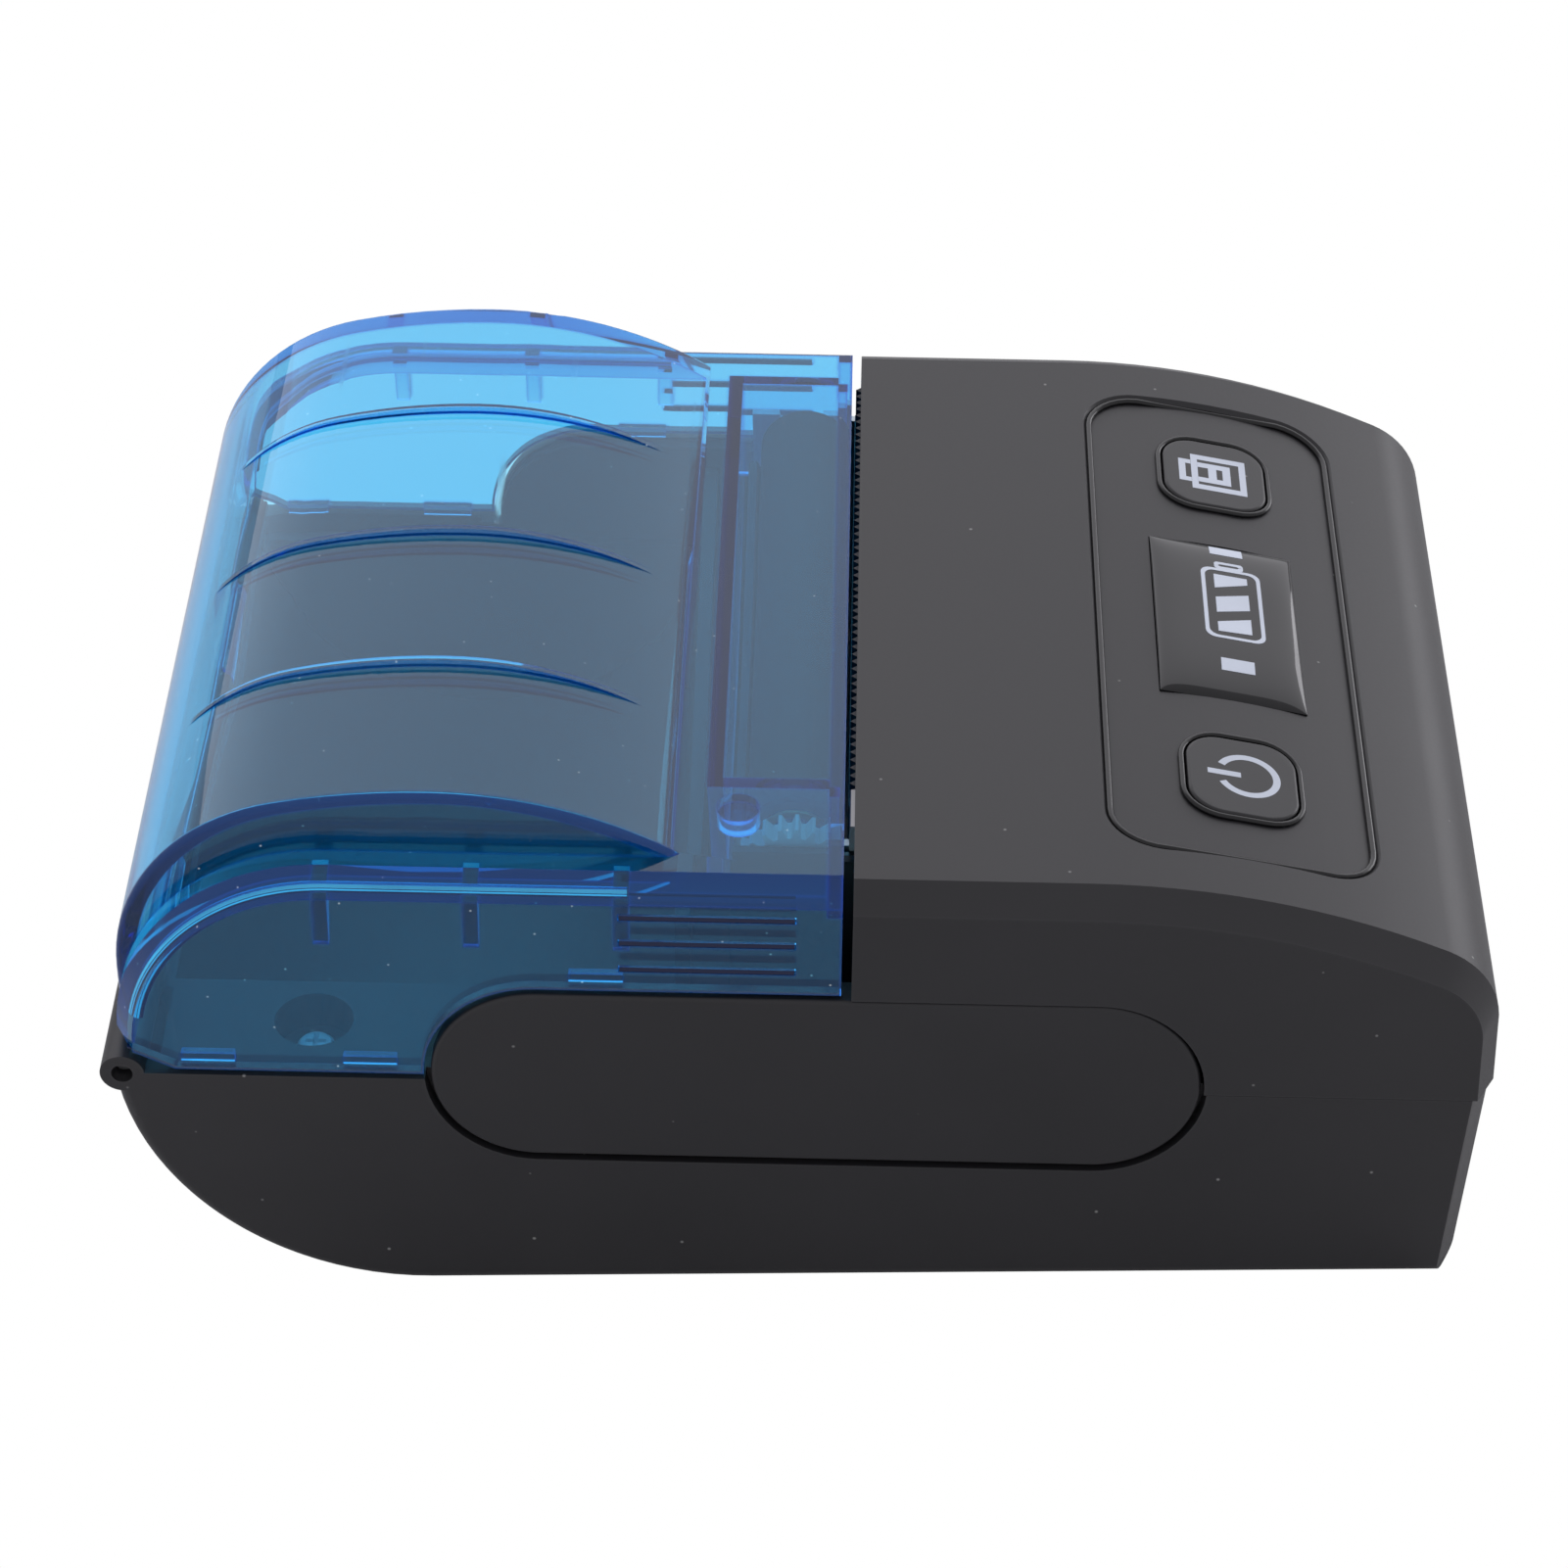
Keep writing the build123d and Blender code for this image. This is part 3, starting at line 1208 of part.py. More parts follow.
bracket_front = lid_front - bracket_front_gap
hollow_foot = min(hem, lid_corner[1]) - lid_wall
lid_high_hem = pill_height + pill_radius + panel_lid_gap
knuckle_near = middle_knuckle_half + knuckle_gap
knuckle_far = lid_knuckle_room - knuckle_gap
with BuildPart() as lid:
    add(lid_form.part)
    add(dome_form.part)
    with Locations((0, -fin_spacing, 0), (0, 0, 0), (0, fin_spacing, 0)):
        add(dome_fins.part)
    # Hollow of the shell and of the dome
    with BuildSketch(side_view(0)):
        with BuildLine():
            arc = CenterArc(lid_corner, lid_corner_radius - lid_wall, 90, 90)
            Polyline(
                arc @ 1,
                (lid_rear + lid_wall, hollow_foot),
                (lid_front + lid_wall, hollow_foot),
                (lid_front + lid_wall, lid_height - lip_depth),
                (lid_front - lip_wall, lid_height - lip_depth),
                (lid_front - lip_wall, lid_inner_top),
                arc @ 0,
            )
        make_face()
    extrude(amount=lid_inner_side, both=True, mode=Mode.SUBTRACT)
    with BuildSketch(side_view(0)):
        with BuildLine():
            dome_side(-lid_wall)
        make_face()
    extrude(amount=dome_half_width - lid_wall, both=True, mode=Mode.SUBTRACT)
    with BuildSketch(side_view(0)):
        pill(panel_lid_gap)
    extrude(amount=case_half_width, both=True, mode=Mode.SUBTRACT)
    for side in (-1, 1):
        rib_corners = [
            (side * (lid_inner_side + near_enough), rib_foot),
            (side * (lid_inner_side + near_enough), lid_inner_top + near_enough),
            (side * (lid_inner_side - rib_depth), lid_inner_top + near_enough),
            (side * (lid_inner_side - rib_foot_depth), rib_foot),
        ]
        for place in rib_places:
            with BuildSketch(Plane.YZ.offset(place)) as rib_section:
                with BuildLine():
                    Polyline(*rib_corners, close=True)
                make_face()
            extrude(rib_section.sketch, amount=rib_width / 2, both=True)
        inner_y = sorted((side * (lid_inner_side - lug_depth), side * lid_inner_side))
        for place in low_lug_places:
            block((place - lug_length / 2, place + lug_length / 2), inner_y, (hem, hem + lug_height))
        block((high_lug_place - lug_length / 2, high_lug_place + lug_length / 2), inner_y,
              (lid_high_hem, lid_high_hem + lug_height))
        for height in grip_heights:
            outer_y = sorted((side * (lid_half_width - grip_depth), side * case_half_width))
            block((grip_rear, grip_front), outer_y, (height - grip_width / 2, height + grip_width / 2),
                  mode=Mode.SUBTRACT)
    # Rib frame that carries the platen, and the post beside its gear
    block((bracket_rear, bracket_rear + bracket_wall), (path_near, path_far), (bracket_foot, lid_inner_top))
    for near in (path_near, path_far - bracket_wall):
        block((bracket_rear, bracket_front), (near, near + bracket_wall), (bracket_foot, lid_inner_top))
        rod(platen_x, platen_height, (near, near + bracket_wall), bush_radius + pilot_fit, mode=Mode.SUBTRACT)
    post((lid_post_place, (gear_near + gear_far) / 2), lid_inner_top - lid_post_length, lid_inner_top,
         lid_post_radius)
    # Knuckles between those of the tub, with webs up to the rear wall
    for near, far in ((-knuckle_far, -knuckle_near), (knuckle_near, knuckle_far)):
        rod(hinge_x, hinge_z, (near, far), barrel_radius)
        block((lid_rear, lid_rear + lid_wall), (near, far), (hinge_z, hem + hinge_bevel_height + lid_wall))
        rod(hinge_x, hinge_z, (near, far), pin_radius + pin_fit, mode=Mode.SUBTRACT)

with BuildPart() as platen_bushings:
    for outer, inner in ((path_near, path_near + bracket_wall), (path_far, path_far - bracket_wall)):
        flange = inner + bush_flange_thickness * (1 if inner > outer else -1)
        rod(platen_x, platen_height, sorted((outer, inner)), bush_radius)
        rod(platen_x, platen_height, sorted((inner, flange)), bush_flange)
        rod(platen_x, platen_height, sorted((outer, flange)), shaft_radius + shaft_fit, mode=Mode.SUBTRACT)

# Platen: rubber roller and gear on one shaft
with BuildPart() as platen_roller:
    rod(platen_x, platen_height, (roller_near, roller_far), platen_radius)
    chamfer(edges(), bush_flange_thickness)
    rod(platen_x, platen_height, (roller_near, roller_far), shaft_radius, mode=Mode.SUBTRACT)

with BuildPart() as platen_shaft:
    rod(platen_x, platen_height, (gear_near, far_sheet_outer + running_gap), shaft_radius)
    chamfer(edges(), shaft_radius / 8)

with BuildPart() as platen_gear:
    gear(platen_x, platen_height, (gear_near, gear_far), platen_teeth, platen_tooth, shaft_radius)

# Every piece leans by base_lean, then the assembly's box is centred over the origin and rests on it
pieces = {
    "lower_shell": lower_shell,
    "upper_shell": upper_shell,
    "side_panel_near": side_panel_near,
    "side_panel_far": side_panel_far,
    "hinge_pin": hinge_pin,
    "paper_tray": paper_tray,
    "tray_screws": tray_screws,
    "mechanism_frame": mechanism_frame,
    "frame_screws": frame_screws,
    "paper_guide": paper_guide,
    "paper_sensor": paper_sensor,
    "thermal_head": thermal_head,
    "head_heat_sink": head_heat_sink,
    "head_springs": head_springs,
    "head_flex": head_flex,
    "tear_bar": tear_bar,
    "tear_bar_clip": tear_bar_clip,
    "drive_motor": drive_motor,
    "motor_pinion": motor_pinion,
    "idler_gear": idler_gear,
    "idler_axle": idler_axle,
    "gear_cover": gear_cover,
    "main_board": main_board,
    "board_screws": board_screws,
    "board_parts": board_parts,
    "usb_socket": usb_socket,
    "battery_contacts": battery_contacts,
    "battery_pack": battery_pack,
    "battery_cover": battery_cover,
    "case_screws": case_screws,
    "key_board": key_board,
    "key_board_screws": key_board_screws,
    "tact_switches": tact_switches,
    "indicator_leds": indicator_leds,
    "light_guide": light_guide,
    "indicator_label": indicator_label,
    "feed_button": feed_button,
    "power_button": power_button,
    "lid": lid,
    "platen_bushings": platen_bushings,
    "platen_roller": platen_roller,
    "platen_shaft": platen_shaft,
    "platen_gear": platen_gear,
}
lean = Location((0, 0, 0), (0, base_lean, 0))
leaned = {label: builder.part.moved(lean) for label, builder in pieces.items()}
boxes = [shape.bounding_box() for shape in leaned.values()]
home_x = -(min(box.min.X for box in boxes) + max(box.max.X for box in boxes)) / 2
home_y = -(min(box.min.Y for box in boxes) + max(box.max.Y for box in boxes)) / 2
home_z = -min(box.min.Z for box in boxes)
home = Location((home_x, home_y, home_z))
os.makedirs("parts", exist_ok=True)
for label, shape in leaned.items():
    placed = shape.moved(home)
    placed.label = label
    export_step(placed, "parts/" + label + ".step")


def in_place(x, y, z):
    """A point of the level case in the frame of the finished assembly, in metres."""
    spot = (home * lean * Location((x, y, z))).position
    return [round(value / 1000, 6) for value in (spot.X, spot.Y, spot.Z)]


press = panel_plane.origin - panel_plane.z_dir
print("home", home_x, home_y, home_z)
print("hinge", in_place(hinge_x, 0, hinge_z))
print("platen", in_place(platen_x, path_centre, platen_height))
print("idler", in_place(idler_x, (gear_near + gear_far) / 2, idler_z))
print("motor", in_place(motor_x, (gear_near + gear_far) / 2, motor_z))
print("panel", in_place(*panel_plane.origin), in_place(*press))
print("bay", in_place(roll_centre_x, (bay_near + bay_far) / 2, roll_centre_z))
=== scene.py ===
import json
import math

import bmesh
import bpy
from mathutils import Matrix, Vector


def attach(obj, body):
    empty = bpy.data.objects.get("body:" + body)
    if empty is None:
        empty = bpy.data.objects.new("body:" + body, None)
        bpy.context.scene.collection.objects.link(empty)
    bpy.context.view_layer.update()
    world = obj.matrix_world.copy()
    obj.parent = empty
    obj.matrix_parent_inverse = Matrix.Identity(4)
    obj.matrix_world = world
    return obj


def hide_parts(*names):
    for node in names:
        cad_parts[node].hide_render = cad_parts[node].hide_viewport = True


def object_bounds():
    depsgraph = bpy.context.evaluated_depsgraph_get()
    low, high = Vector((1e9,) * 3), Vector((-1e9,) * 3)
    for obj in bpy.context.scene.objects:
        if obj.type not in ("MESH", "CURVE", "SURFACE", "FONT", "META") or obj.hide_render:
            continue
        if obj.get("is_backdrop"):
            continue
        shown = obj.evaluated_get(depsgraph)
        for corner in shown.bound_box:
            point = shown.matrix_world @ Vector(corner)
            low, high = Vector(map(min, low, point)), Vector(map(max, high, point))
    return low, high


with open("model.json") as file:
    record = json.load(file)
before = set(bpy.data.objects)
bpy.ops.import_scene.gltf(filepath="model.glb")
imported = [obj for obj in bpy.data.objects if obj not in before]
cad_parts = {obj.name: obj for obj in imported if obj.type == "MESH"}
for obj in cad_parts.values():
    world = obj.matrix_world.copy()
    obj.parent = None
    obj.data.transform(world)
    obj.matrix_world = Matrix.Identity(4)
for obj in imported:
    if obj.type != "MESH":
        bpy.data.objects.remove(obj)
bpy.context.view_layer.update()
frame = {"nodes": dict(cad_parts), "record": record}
nodes = frame["nodes"]
print("frame loaded:", len(nodes), "nodes")

# The case is measured level along its parting line, in millimetres, and leans back on its flat underside
case = {"lean": 2.28, "home": (3.0254787, 0.0, 1.5356241)}
caseToWorld = (
    Matrix.Scale(0.001, 4)
    @ Matrix.Translation(case["home"])
    @ Matrix.Rotation(math.radians(case["lean"]), 4, "Y")
)

# Middle of the sunk control panel: x towards the front edge, y along the seam, z out of the panel
panel = {"x": 30.8, "height": 37.1236, "slope": 0.186567, "sink": 0.45, "spread": 21.1}
panelTurn = math.asin(panel["slope"])
panelToWorld = (
    caseToWorld
    @ Matrix.Translation((panel["x"], 0, panel["height"]))
    @ Matrix.Rotation(panelTurn, 4, "Y")
)


def lit(red, green, blue):
    # A colour picked on screen, 0 to 255, as the linear colour that a shader takes
    def straight(value):
        value /= 255
        return value / 12.92 if value <= 0.04045 else ((value + 0.055) / 1.055) ** 2.4
    return (straight(red), straight(green), straight(blue), 1.0)


def newObject(name, data):
    piece = bpy.data.objects.new(name, data)
    bpy.context.scene.collection.objects.link(piece)
    return piece


def meshed(name, shape, toWorld=None):
    # A closed shape, its faces turned outwards, as an object in place
    bmesh.ops.recalc_face_normals(shape, faces=shape.faces)
    mesh = bpy.data.meshes.new(name)
    shape.to_mesh(mesh)
    shape.free()
    if toWorld:
        mesh.transform(toWorld)
    return newObject(name, mesh)


def evaluatedMesh(source):
    depsgraph = bpy.context.evaluated_depsgraph_get()
    return bpy.data.meshes.new_from_object(source.evaluated_get(depsgraph), depsgraph=depsgraph)


def settled(piece):
    # The same object with its modifiers worked into its mesh
    mesh = evaluatedMesh(piece)
    piece.modifiers.clear()
    piece.data = mesh
    return piece


def fit(piece, material, body, stands=()):
    # Gives a finished piece its material and the body that it moves with
    piece.data.materials.clear()
    piece.data.materials.append(material)
    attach(piece, body)
    if stands:
        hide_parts(*stands)
    return piece


# Distances in metres under which corners are one and edges are nothing
care = {"merge": 2e-6, "nothing": 1e-6}


def smoothed(node, name, angle):
    # A merged copy of a solid whose curved faces shade evenly and whose corners stay sharp
    mesh = nodes[node].data.copy()
    shape = bmesh.new()
    shape.from_mesh(mesh)
    bmesh.ops.remove_doubles(shape, verts=shape.verts, dist=care["merge"])
    bmesh.ops.dissolve_degenerate(shape, edges=shape.edges, dist=care["nothing"])
    for edge in shape.edges:
        edge.smooth = edge.calc_face_angle(0) < math.radians(angle)
    for face in shape.faces:
        face.smooth = True
    shape.to_mesh(mesh)
    shape.free()
    piece = newObject(name, mesh)
    even = piece.modifiers.new("evenNormals", "WEIGHTED_NORMAL")
    even.keep_sharp = True
    return settled(piece)


# Nodes: each input of a node takes a plain value or another node's output
def feed(tree, node, inputs):
    for key, value in inputs.items():
        if isinstance(value, bpy.types.NodeSocket):
            tree.links.new(value, node.inputs[key])
        else:
            node.inputs[key].default_value = value
    return node


def addNode(tree, kind, inputs=(), **settings):
    node = tree.nodes.new(kind)
    for name, value in settings.items():
        setattr(node, name, value)
    return feed(tree, node, dict(inputs))


def calc(tree, operation, *values):
    return addNode(tree, "ShaderNodeMath", enumerate(values), operation=operation).outputs["Value"]


def ranged(tree, value, source, target=(0.0, 1.0)):
    # A value carried from one range to another and kept inside it
    sides = zip(("Value", "From Min", "From Max", "To Min", "To Max"), (value, *source, *target))
    return addNode(tree, "ShaderNodeMapRange", sides).outputs["Result"]


def mixed(tree, factor, first, second):
    inputs = {"Factor": factor}
    for label, value in (("A", first), ("B", second)):
        inputs[label] = value[:3] + (1,) if isinstance(value, tuple) else value
    return addNode(tree, "ShaderNodeMix", inputs, data_type="RGBA").outputs["Result"]


def shaded(tree, colour, share):
    inputs = {"Vector": colour, "Scale": share}
    return addNode(tree, "ShaderNodeVectorMath", inputs, operation="SCALE").outputs["Vector"]


def noise(tree, place, scale, detail, **more):
    inputs = {"Vector": place, "Scale": scale, "Detail": detail, **more}
    return addNode(tree, "ShaderNodeTexNoise", inputs).outputs["Fac"]


def objectPlace(tree):
    return addNode(tree, "ShaderNodeTexCoord").outputs["Object"]


def cornerMask(tree, radius, samples, fold):
    # Corners, found where a rounded normal parts from the true one
    rounded = addNode(tree, "ShaderNodeBevel", {"Radius": radius}, samples=samples)
    true = addNode(tree, "ShaderNodeNewGeometry")
    normals = {0: rounded.outputs["Normal"], 1: true.outputs["Normal"]}
    turn = addNode(tree, "ShaderNodeVectorMath", normals, operation="DOT_PRODUCT")
    return ranged(tree, turn.outputs["Value"], fold)


def newGroup(name, inputs, outputs, kind="ShaderNodeTree"):
    # A group with named inputs, each with its usual value where it has one, and named outputs
    group = bpy.data.node_groups.new(name, kind)
    for label, socketType, *value in inputs:
        socket = group.interface.new_socket(label, in_out="INPUT", socket_type="NodeSocket" + socketType)
        if value:
            socket.default_value = value[0]
    for label, socketType in outputs:
        group.interface.new_socket(label, in_out="OUTPUT", socket_type="NodeSocket" + socketType)
    return group, addNode(group, "NodeGroupInput").outputs, addNode(group, "NodeGroupOutput")


def placeGroup(tree, group, values):
    return addNode(tree, "ShaderNodeGroup", values, node_tree=group).outputs


# Shader groups, built once and placed in the materials
specks = {"scale": 420.0, "amount": 0.4, "keep": 0.8, "core": (0.075, 0.03)}


def makeDust():
    # Dust specks: the cores of scattered cells, of which only a few are kept
    group, given, result = newGroup(
        "dustSpecks",
        [(label, "Float", specks[label.lower()]) for label in ("Scale", "Amount", "Keep")],
        (("Mask", "Float"),),
    )
    cells = addNode(group, "ShaderNodeTexVoronoi", {"Vector": objectPlace(group), "Scale": given["Scale"]})
    chosen = addNode(group, "ShaderNodeSeparateColor", {"Color": cells.outputs["Color"]})
    few = calc(group, "GREATER_THAN", chosen.outputs["Red"], given["Keep"])
    speck = calc(group, "MULTIPLY", ranged(group, cells.outputs["Distance"], specks["core"]), few)
    feed(group, result, {"Mask": calc(group, "MULTIPLY", speck, given["Amount"])})
    return group


# The paler grey that corners are mixed towards is a painted highlight
moulding = {
    "grainDetail": 3, "grainRough": 0.6, "driftScale": 60, "driftDetail": 4, "drift": (0.3, 0.7),
    "tone": (0.88, 1.12), "corner": 0.00035, "samples": 4, "fold": (0.995, 0.85),
    "paintedEdgeHighlight": (0.16, 0.16, 0.165), "dusty": (0.7, 0.7, 0.68),
}


def makeMouldedSkin(dust):
    # Satin moulded plastic: a fine spark-eroded grain, a slow drift of tone, a few pale dust specks and paler
    # corners, a painted highlight
    group, given, result = newGroup(
        "mouldedSkin",
        (
            ("Colour", "Color", (0.02, 0.02, 0.02, 1)), ("Rough", "Float", 0.5), ("Spread", "Float", 0.08),
            ("Grain Scale", "Float", 4200.0), ("Dust", "Float", 0.35), ("Edge Light", "Float", 0.25),
        ),
        (("Colour", "Color"), ("Roughness", "Float"), ("Height", "Float")),
    )
    place = objectPlace(group)
    grain = noise(
        group, place, given["Grain Scale"], moulding["grainDetail"], Roughness=moulding["grainRough"],
    )
    drift = noise(group, place, moulding["driftScale"], moulding["driftDetail"])
    dusty = placeGroup(group, dust, {"Amount": given["Dust"]})["Mask"]
    corner = cornerMask(group, moulding["corner"], moulding["samples"], moulding["fold"])
    edge = calc(group, "MULTIPLY", corner, given["Edge Light"])
    # The drift lightens and darkens a little; corners are paler, a painted highlight, and dust specks are
    # paler
    colour = shaded(group, given["Colour"], ranged(group, drift, moulding["drift"], moulding["tone"]))
    colour = mixed(group, edge, colour, moulding["paintedEdgeHighlight"])
    colour = mixed(group, dusty, colour, moulding["dusty"])
    # Grain and drift, each about a half, move the roughness about its mean
    about = calc(group, "SUBTRACT", calc(group, "ADD", grain, drift), 1.0)
    rough = calc(group, "MULTIPLY_ADD", about, given["Spread"], given["Rough"])
    feed(group, result, {"Colour": colour, "Roughness": rough, "Height": grain})
    return group


hairs = {
    "smearScale": 70, "smearDetail": 5, "detail": 2, "thin": (0.66, 0.72),
    "turn": (0.2, 0.35, 0.6), "stretch": (1.0, 0.035, 0.035),
}


def makeFineScratches():
    # Hair scratches and faint smears for polished plastic and metal
    group, given, result = newGroup(
        "fineScratches",
        (
            ("Rough", "Float", 0.1), ("Smear", "Float", 0.08), ("Scratch", "Float", 0.2),
            ("Scale", "Float", 900.0),
        ),
        (("Roughness", "Float"), ("Height", "Float"), ("Mask", "Float")),
    )
    place = objectPlace(group)
    smear = noise(group, place, hairs["smearScale"], hairs["smearDetail"])
    slant = {"Vector": place, "Rotation": hairs["turn"], "Scale": hairs["stretch"]}
    pulled = addNode(group, "ShaderNodeMapping", slant).outputs["Vector"]
    hair = ranged(group, noise(group, pulled, given["Scale"], hairs["detail"]), hairs["thin"])
    mask = calc(group, "MULTIPLY", hair, given["Scratch"])
    smudge = calc(group, "MULTIPLY_ADD", smear, given["Smear"], given["Rough"])
    feed(group, result, {"Roughness": calc(group, "ADD", smudge, mask), "Height": mask, "Mask": mask})
    return group


deep = {"samples": 6, "fold": (0.992, 0.90)}


def makeDeepEdge():
    # Clear plastic seen along its thickness: a mask beside every corner
    group, given, result = newGroup(
        "deepEdge", (("Width", "Float", 0.0006), ("Depth", "Float", 0.8)), (("Mask", "Float"),)
    )
    beside = cornerMask(group, given["Width"], deep["samples"], deep["fold"])
    feed(group, result, {"Mask": calc(group, "MULTIPLY", beside, given["Depth"])})
    return group


# The share of each stripe's breadth over which its edge runs
stripeEdge = (0.36, 0.42)


def makeStripes():
    # Flat lines side by side across the object, such as the conductors of a flat cable
    group, given, result = newGroup(
        "stripes",
        (
            ("Ground", "Color", (0.3, 0.1, 0.02, 1)), ("Line", "Color", (0.6, 0.3, 0.1, 1)),
            ("Pitch", "Float", 0.001),
        ),
        (("Colour", "Color"), ("Mask", "Float")),
    )
    across = addNode(group, "ShaderNodeSeparateXYZ", {"Vector": objectPlace(group)}).outputs["Y"]
    share = calc(group, "FRACT", calc(group, "DIVIDE", across, given["Pitch"]))
    line = ranged(group, share, stripeEdge)
    feed(group, result, {"Colour": mixed(group, line, given["Ground"], given["Line"]), "Mask": line})
    return group


brush = {"detail": 3, "stainScale": 180, "stainDetail": 4, "stain": (0.25, 0.75), "tone": (0.82, 1.08)}


def makeBrushed():
    # Rolled or turned metal: long fine streaks along one axis
    group, given, result = newGroup(
        "brushedStreaks",
        (
            ("Colour", "Color", (0.5, 0.5, 0.5, 1)), ("Rough", "Float", 0.3), ("Spread", "Float", 0.2),
            ("Stretch", "Vector", (1.0, 0.03, 1.0)), ("Scale", "Float", 3500.0),
        ),
        (("Colour", "Color"), ("Roughness", "Float"), ("Height", "Float")),
    )
    place = objectPlace(group)
    pulled = addNode(group, "ShaderNodeVectorMath", {0: place, 1: given["Stretch"]}, operation="MULTIPLY")
    streak = noise(group, pulled.outputs["Vector"], given["Scale"], brush["detail"])
    stain = noise(group, place, brush["stainScale"], brush["stainDetail"])
    both = calc(group, "MULTIPLY", streak, stain)
    feed(group, result, {
        "Colour": shaded(group, given["Colour"], ranged(group, stain, brush["stain"], brush["tone"])),
        "Roughness": calc(group, "MULTIPLY_ADD", both, given["Spread"], given["Rough"]),
        "Height": streak,
    })
    return group


dustSpecks = makeDust()
mouldedSkin = makeMouldedSkin(dustSpecks)
fineScratches = makeFineScratches()
deepEdge = makeDeepEdge()
stripes = makeStripes()
brushedStreaks = makeBrushed()


def newMaterial(name):
    material = bpy.data.materials.new(name)
    material.use_nodes = True
    tree = material.node_tree
    return material, tree, tree.nodes["Principled BSDF"]


# Relief: how deep the marks on a surface go in metres, and how strongly they show
relief = {"grain": 0.00003, "metal": (0.00001, 0.1), "gloss": (0.000004, 0.2), "lines": (0.00002, 0.3)}
# Scratches in gloss are its colour made lighter: so many times, and so much added
scratchTone = (1.6, 0.02)


def bumped(tree, height, depth, strength):
    inputs = {"Height": height, "Distance": depth, "Strength": strength}
    return addNode(tree, "ShaderNodeBump", inputs).outputs["Normal"]


def plastic(name, colour, rough, spread=0.08, grain=4200.0, bump=0.15, dust=0.35, edge=0.25):
    material, tree, surface = newMaterial(name)
    moulded = placeGroup(tree, mouldedSkin, {
        "Colour": colour, "Rough": rough, "Spread": spread, "Grain Scale": grain,
        "Dust": dust, "Edge Light": edge,
    })
    feed(tree, surface, {
        "Base Color": moulded["Colour"], "Roughness": moulded["Roughness"],
        "Normal": bumped(tree, moulded["Height"], relief["grain"], bump),
    })
    return material


def metal(name, colour, rough, spread=0.2, stretch=(1.0, 0.03, 1.0)):
    material, tree, surface = newMaterial(name)
    rolled = placeGroup(tree, brushedStreaks, {
        "Colour": colour, "Rough": rough, "Spread": spread, "Stretch": stretch,
    })
    feed(tree, surface, {
        "Base Color": rolled["Colour"], "Roughness": rolled["Roughness"], "Metallic": 1.0,
        "Normal": bumped(tree, rolled["Height"], *relief["metal"]),
    })
    return material


def gloss(name, colour, rough=0.06, smear=0.06, scratch=0.15):
    material, tree, surface = newMaterial(name)
    marks = placeGroup(tree, fineScratches, {"Rough": rough, "Smear": smear, "Scratch": scratch})
    times, more = scratchTone
    paler = tuple(min(1, value * times + more) for value in colour[:3])
    feed(tree, surface, {
        "Base Color": mixed(tree, marks["Mask"], colour, paler), "Roughness": marks["Roughness"],
        "Normal": bumped(tree, marks["Height"], *relief["gloss"]),
    })
    return material


def striped(name, ground, line, pitch, rough):
    material, tree, surface = newMaterial(name)
    lines = placeGroup(tree, stripes, {"Ground": ground, "Line": line, "Pitch": pitch})
    feed(tree, surface, {
        "Base Color": lines["Colour"], "Roughness": rough,
        "Normal": bumped(tree, lines["Mask"], *relief["lines"]),
    })
    return material


# Clear blue plastic: colour comes from its thickness; its corners are painted deep blue, painted shade, and
# glow blue, a painted glow; the whole lid glows faintly blue, a painted glow; dust lies on it and its specks
# glow pale, painted glints
# The edge colour is painted shade; the edge glow, the faint glow all over and the dust glow are painted light
lidGlass = {
    "face": (0.93, 0.985, 1.0), "soak": (0.0, 0.73, 0.91), "density": 700.0, "ior": 1.5,
    "shadow": (0.80, 0.93, 0.98),
    "edge": (0.02, 0.25, 0.62), "edgeGlow": (0.0, 0.020, 0.09), "paintedGlow": (0.0, 0.0110, 0.029),
    "edgeWidth": 0.0005, "edgeDepth": 0.85,
    "rough": 0.0, "smear": 0.01, "scratch": 0.1, "relief": (0.000003, 0.1),
    "dustScale": 620.0, "dust": 0.5, "dustKeep": 0.72, "dustGlow": (0.55, 0.6, 0.62),
}


def clearBlue(name):
    values = lidGlass
    material, tree, surface = newMaterial(name)
    edge = placeGroup(tree, deepEdge, {"Width": values["edgeWidth"], "Depth": values["edgeDepth"]})["Mask"]
    dust = placeGroup(tree, dustSpecks, {
        "Scale": values["dustScale"], "Amount": values["dust"], "Keep": values["dustKeep"],
    })["Mask"]
    marks = placeGroup(tree, fineScratches, {
        "Rough": values["rough"], "Smear": values["smear"], "Scratch": values["scratch"],
    })
    # Painted light: corners are painted deep blue as shade, the whole lid glows faintly blue and more so at
    # corners, and dust specks glow pale as glints
    glow = mixed(tree, edge, values["paintedGlow"], values["edgeGlow"])
    feed(tree, surface, {
        "Base Color": mixed(tree, edge, values["face"], values["edge"]), "Roughness": marks["Roughness"],
        "Emission Color": mixed(tree, dust, glow, values["dustGlow"]), "Emission Strength": 1.0,
        "Transmission Weight": 1.0, "IOR": values["ior"],
        "Normal": bumped(tree, marks["Height"], *values["relief"]),
    })
    # Light on its way to what lies under the lid passes with a slight tint
    clear = addNode(tree, "ShaderNodeBsdfTransparent", {"Color": values["shadow"] + (1,)}).outputs["BSDF"]
    rays = addNode(tree, "ShaderNodeLightPath")
    pick = {"Fac": rays.outputs["Is Shadow Ray"], 1: surface.outputs["BSDF"], 2: clear}
    soak = {"Color": values["soak"] + (1,), "Density": values["density"]}
    feed(tree, tree.nodes["Material Output"], {
        "Surface": addNode(tree, "ShaderNodeMixShader", pick).outputs["Shader"],
        "Volume": addNode(tree, "ShaderNodeVolumeAbsorption", soak).outputs["Volume"],
    })
    return material


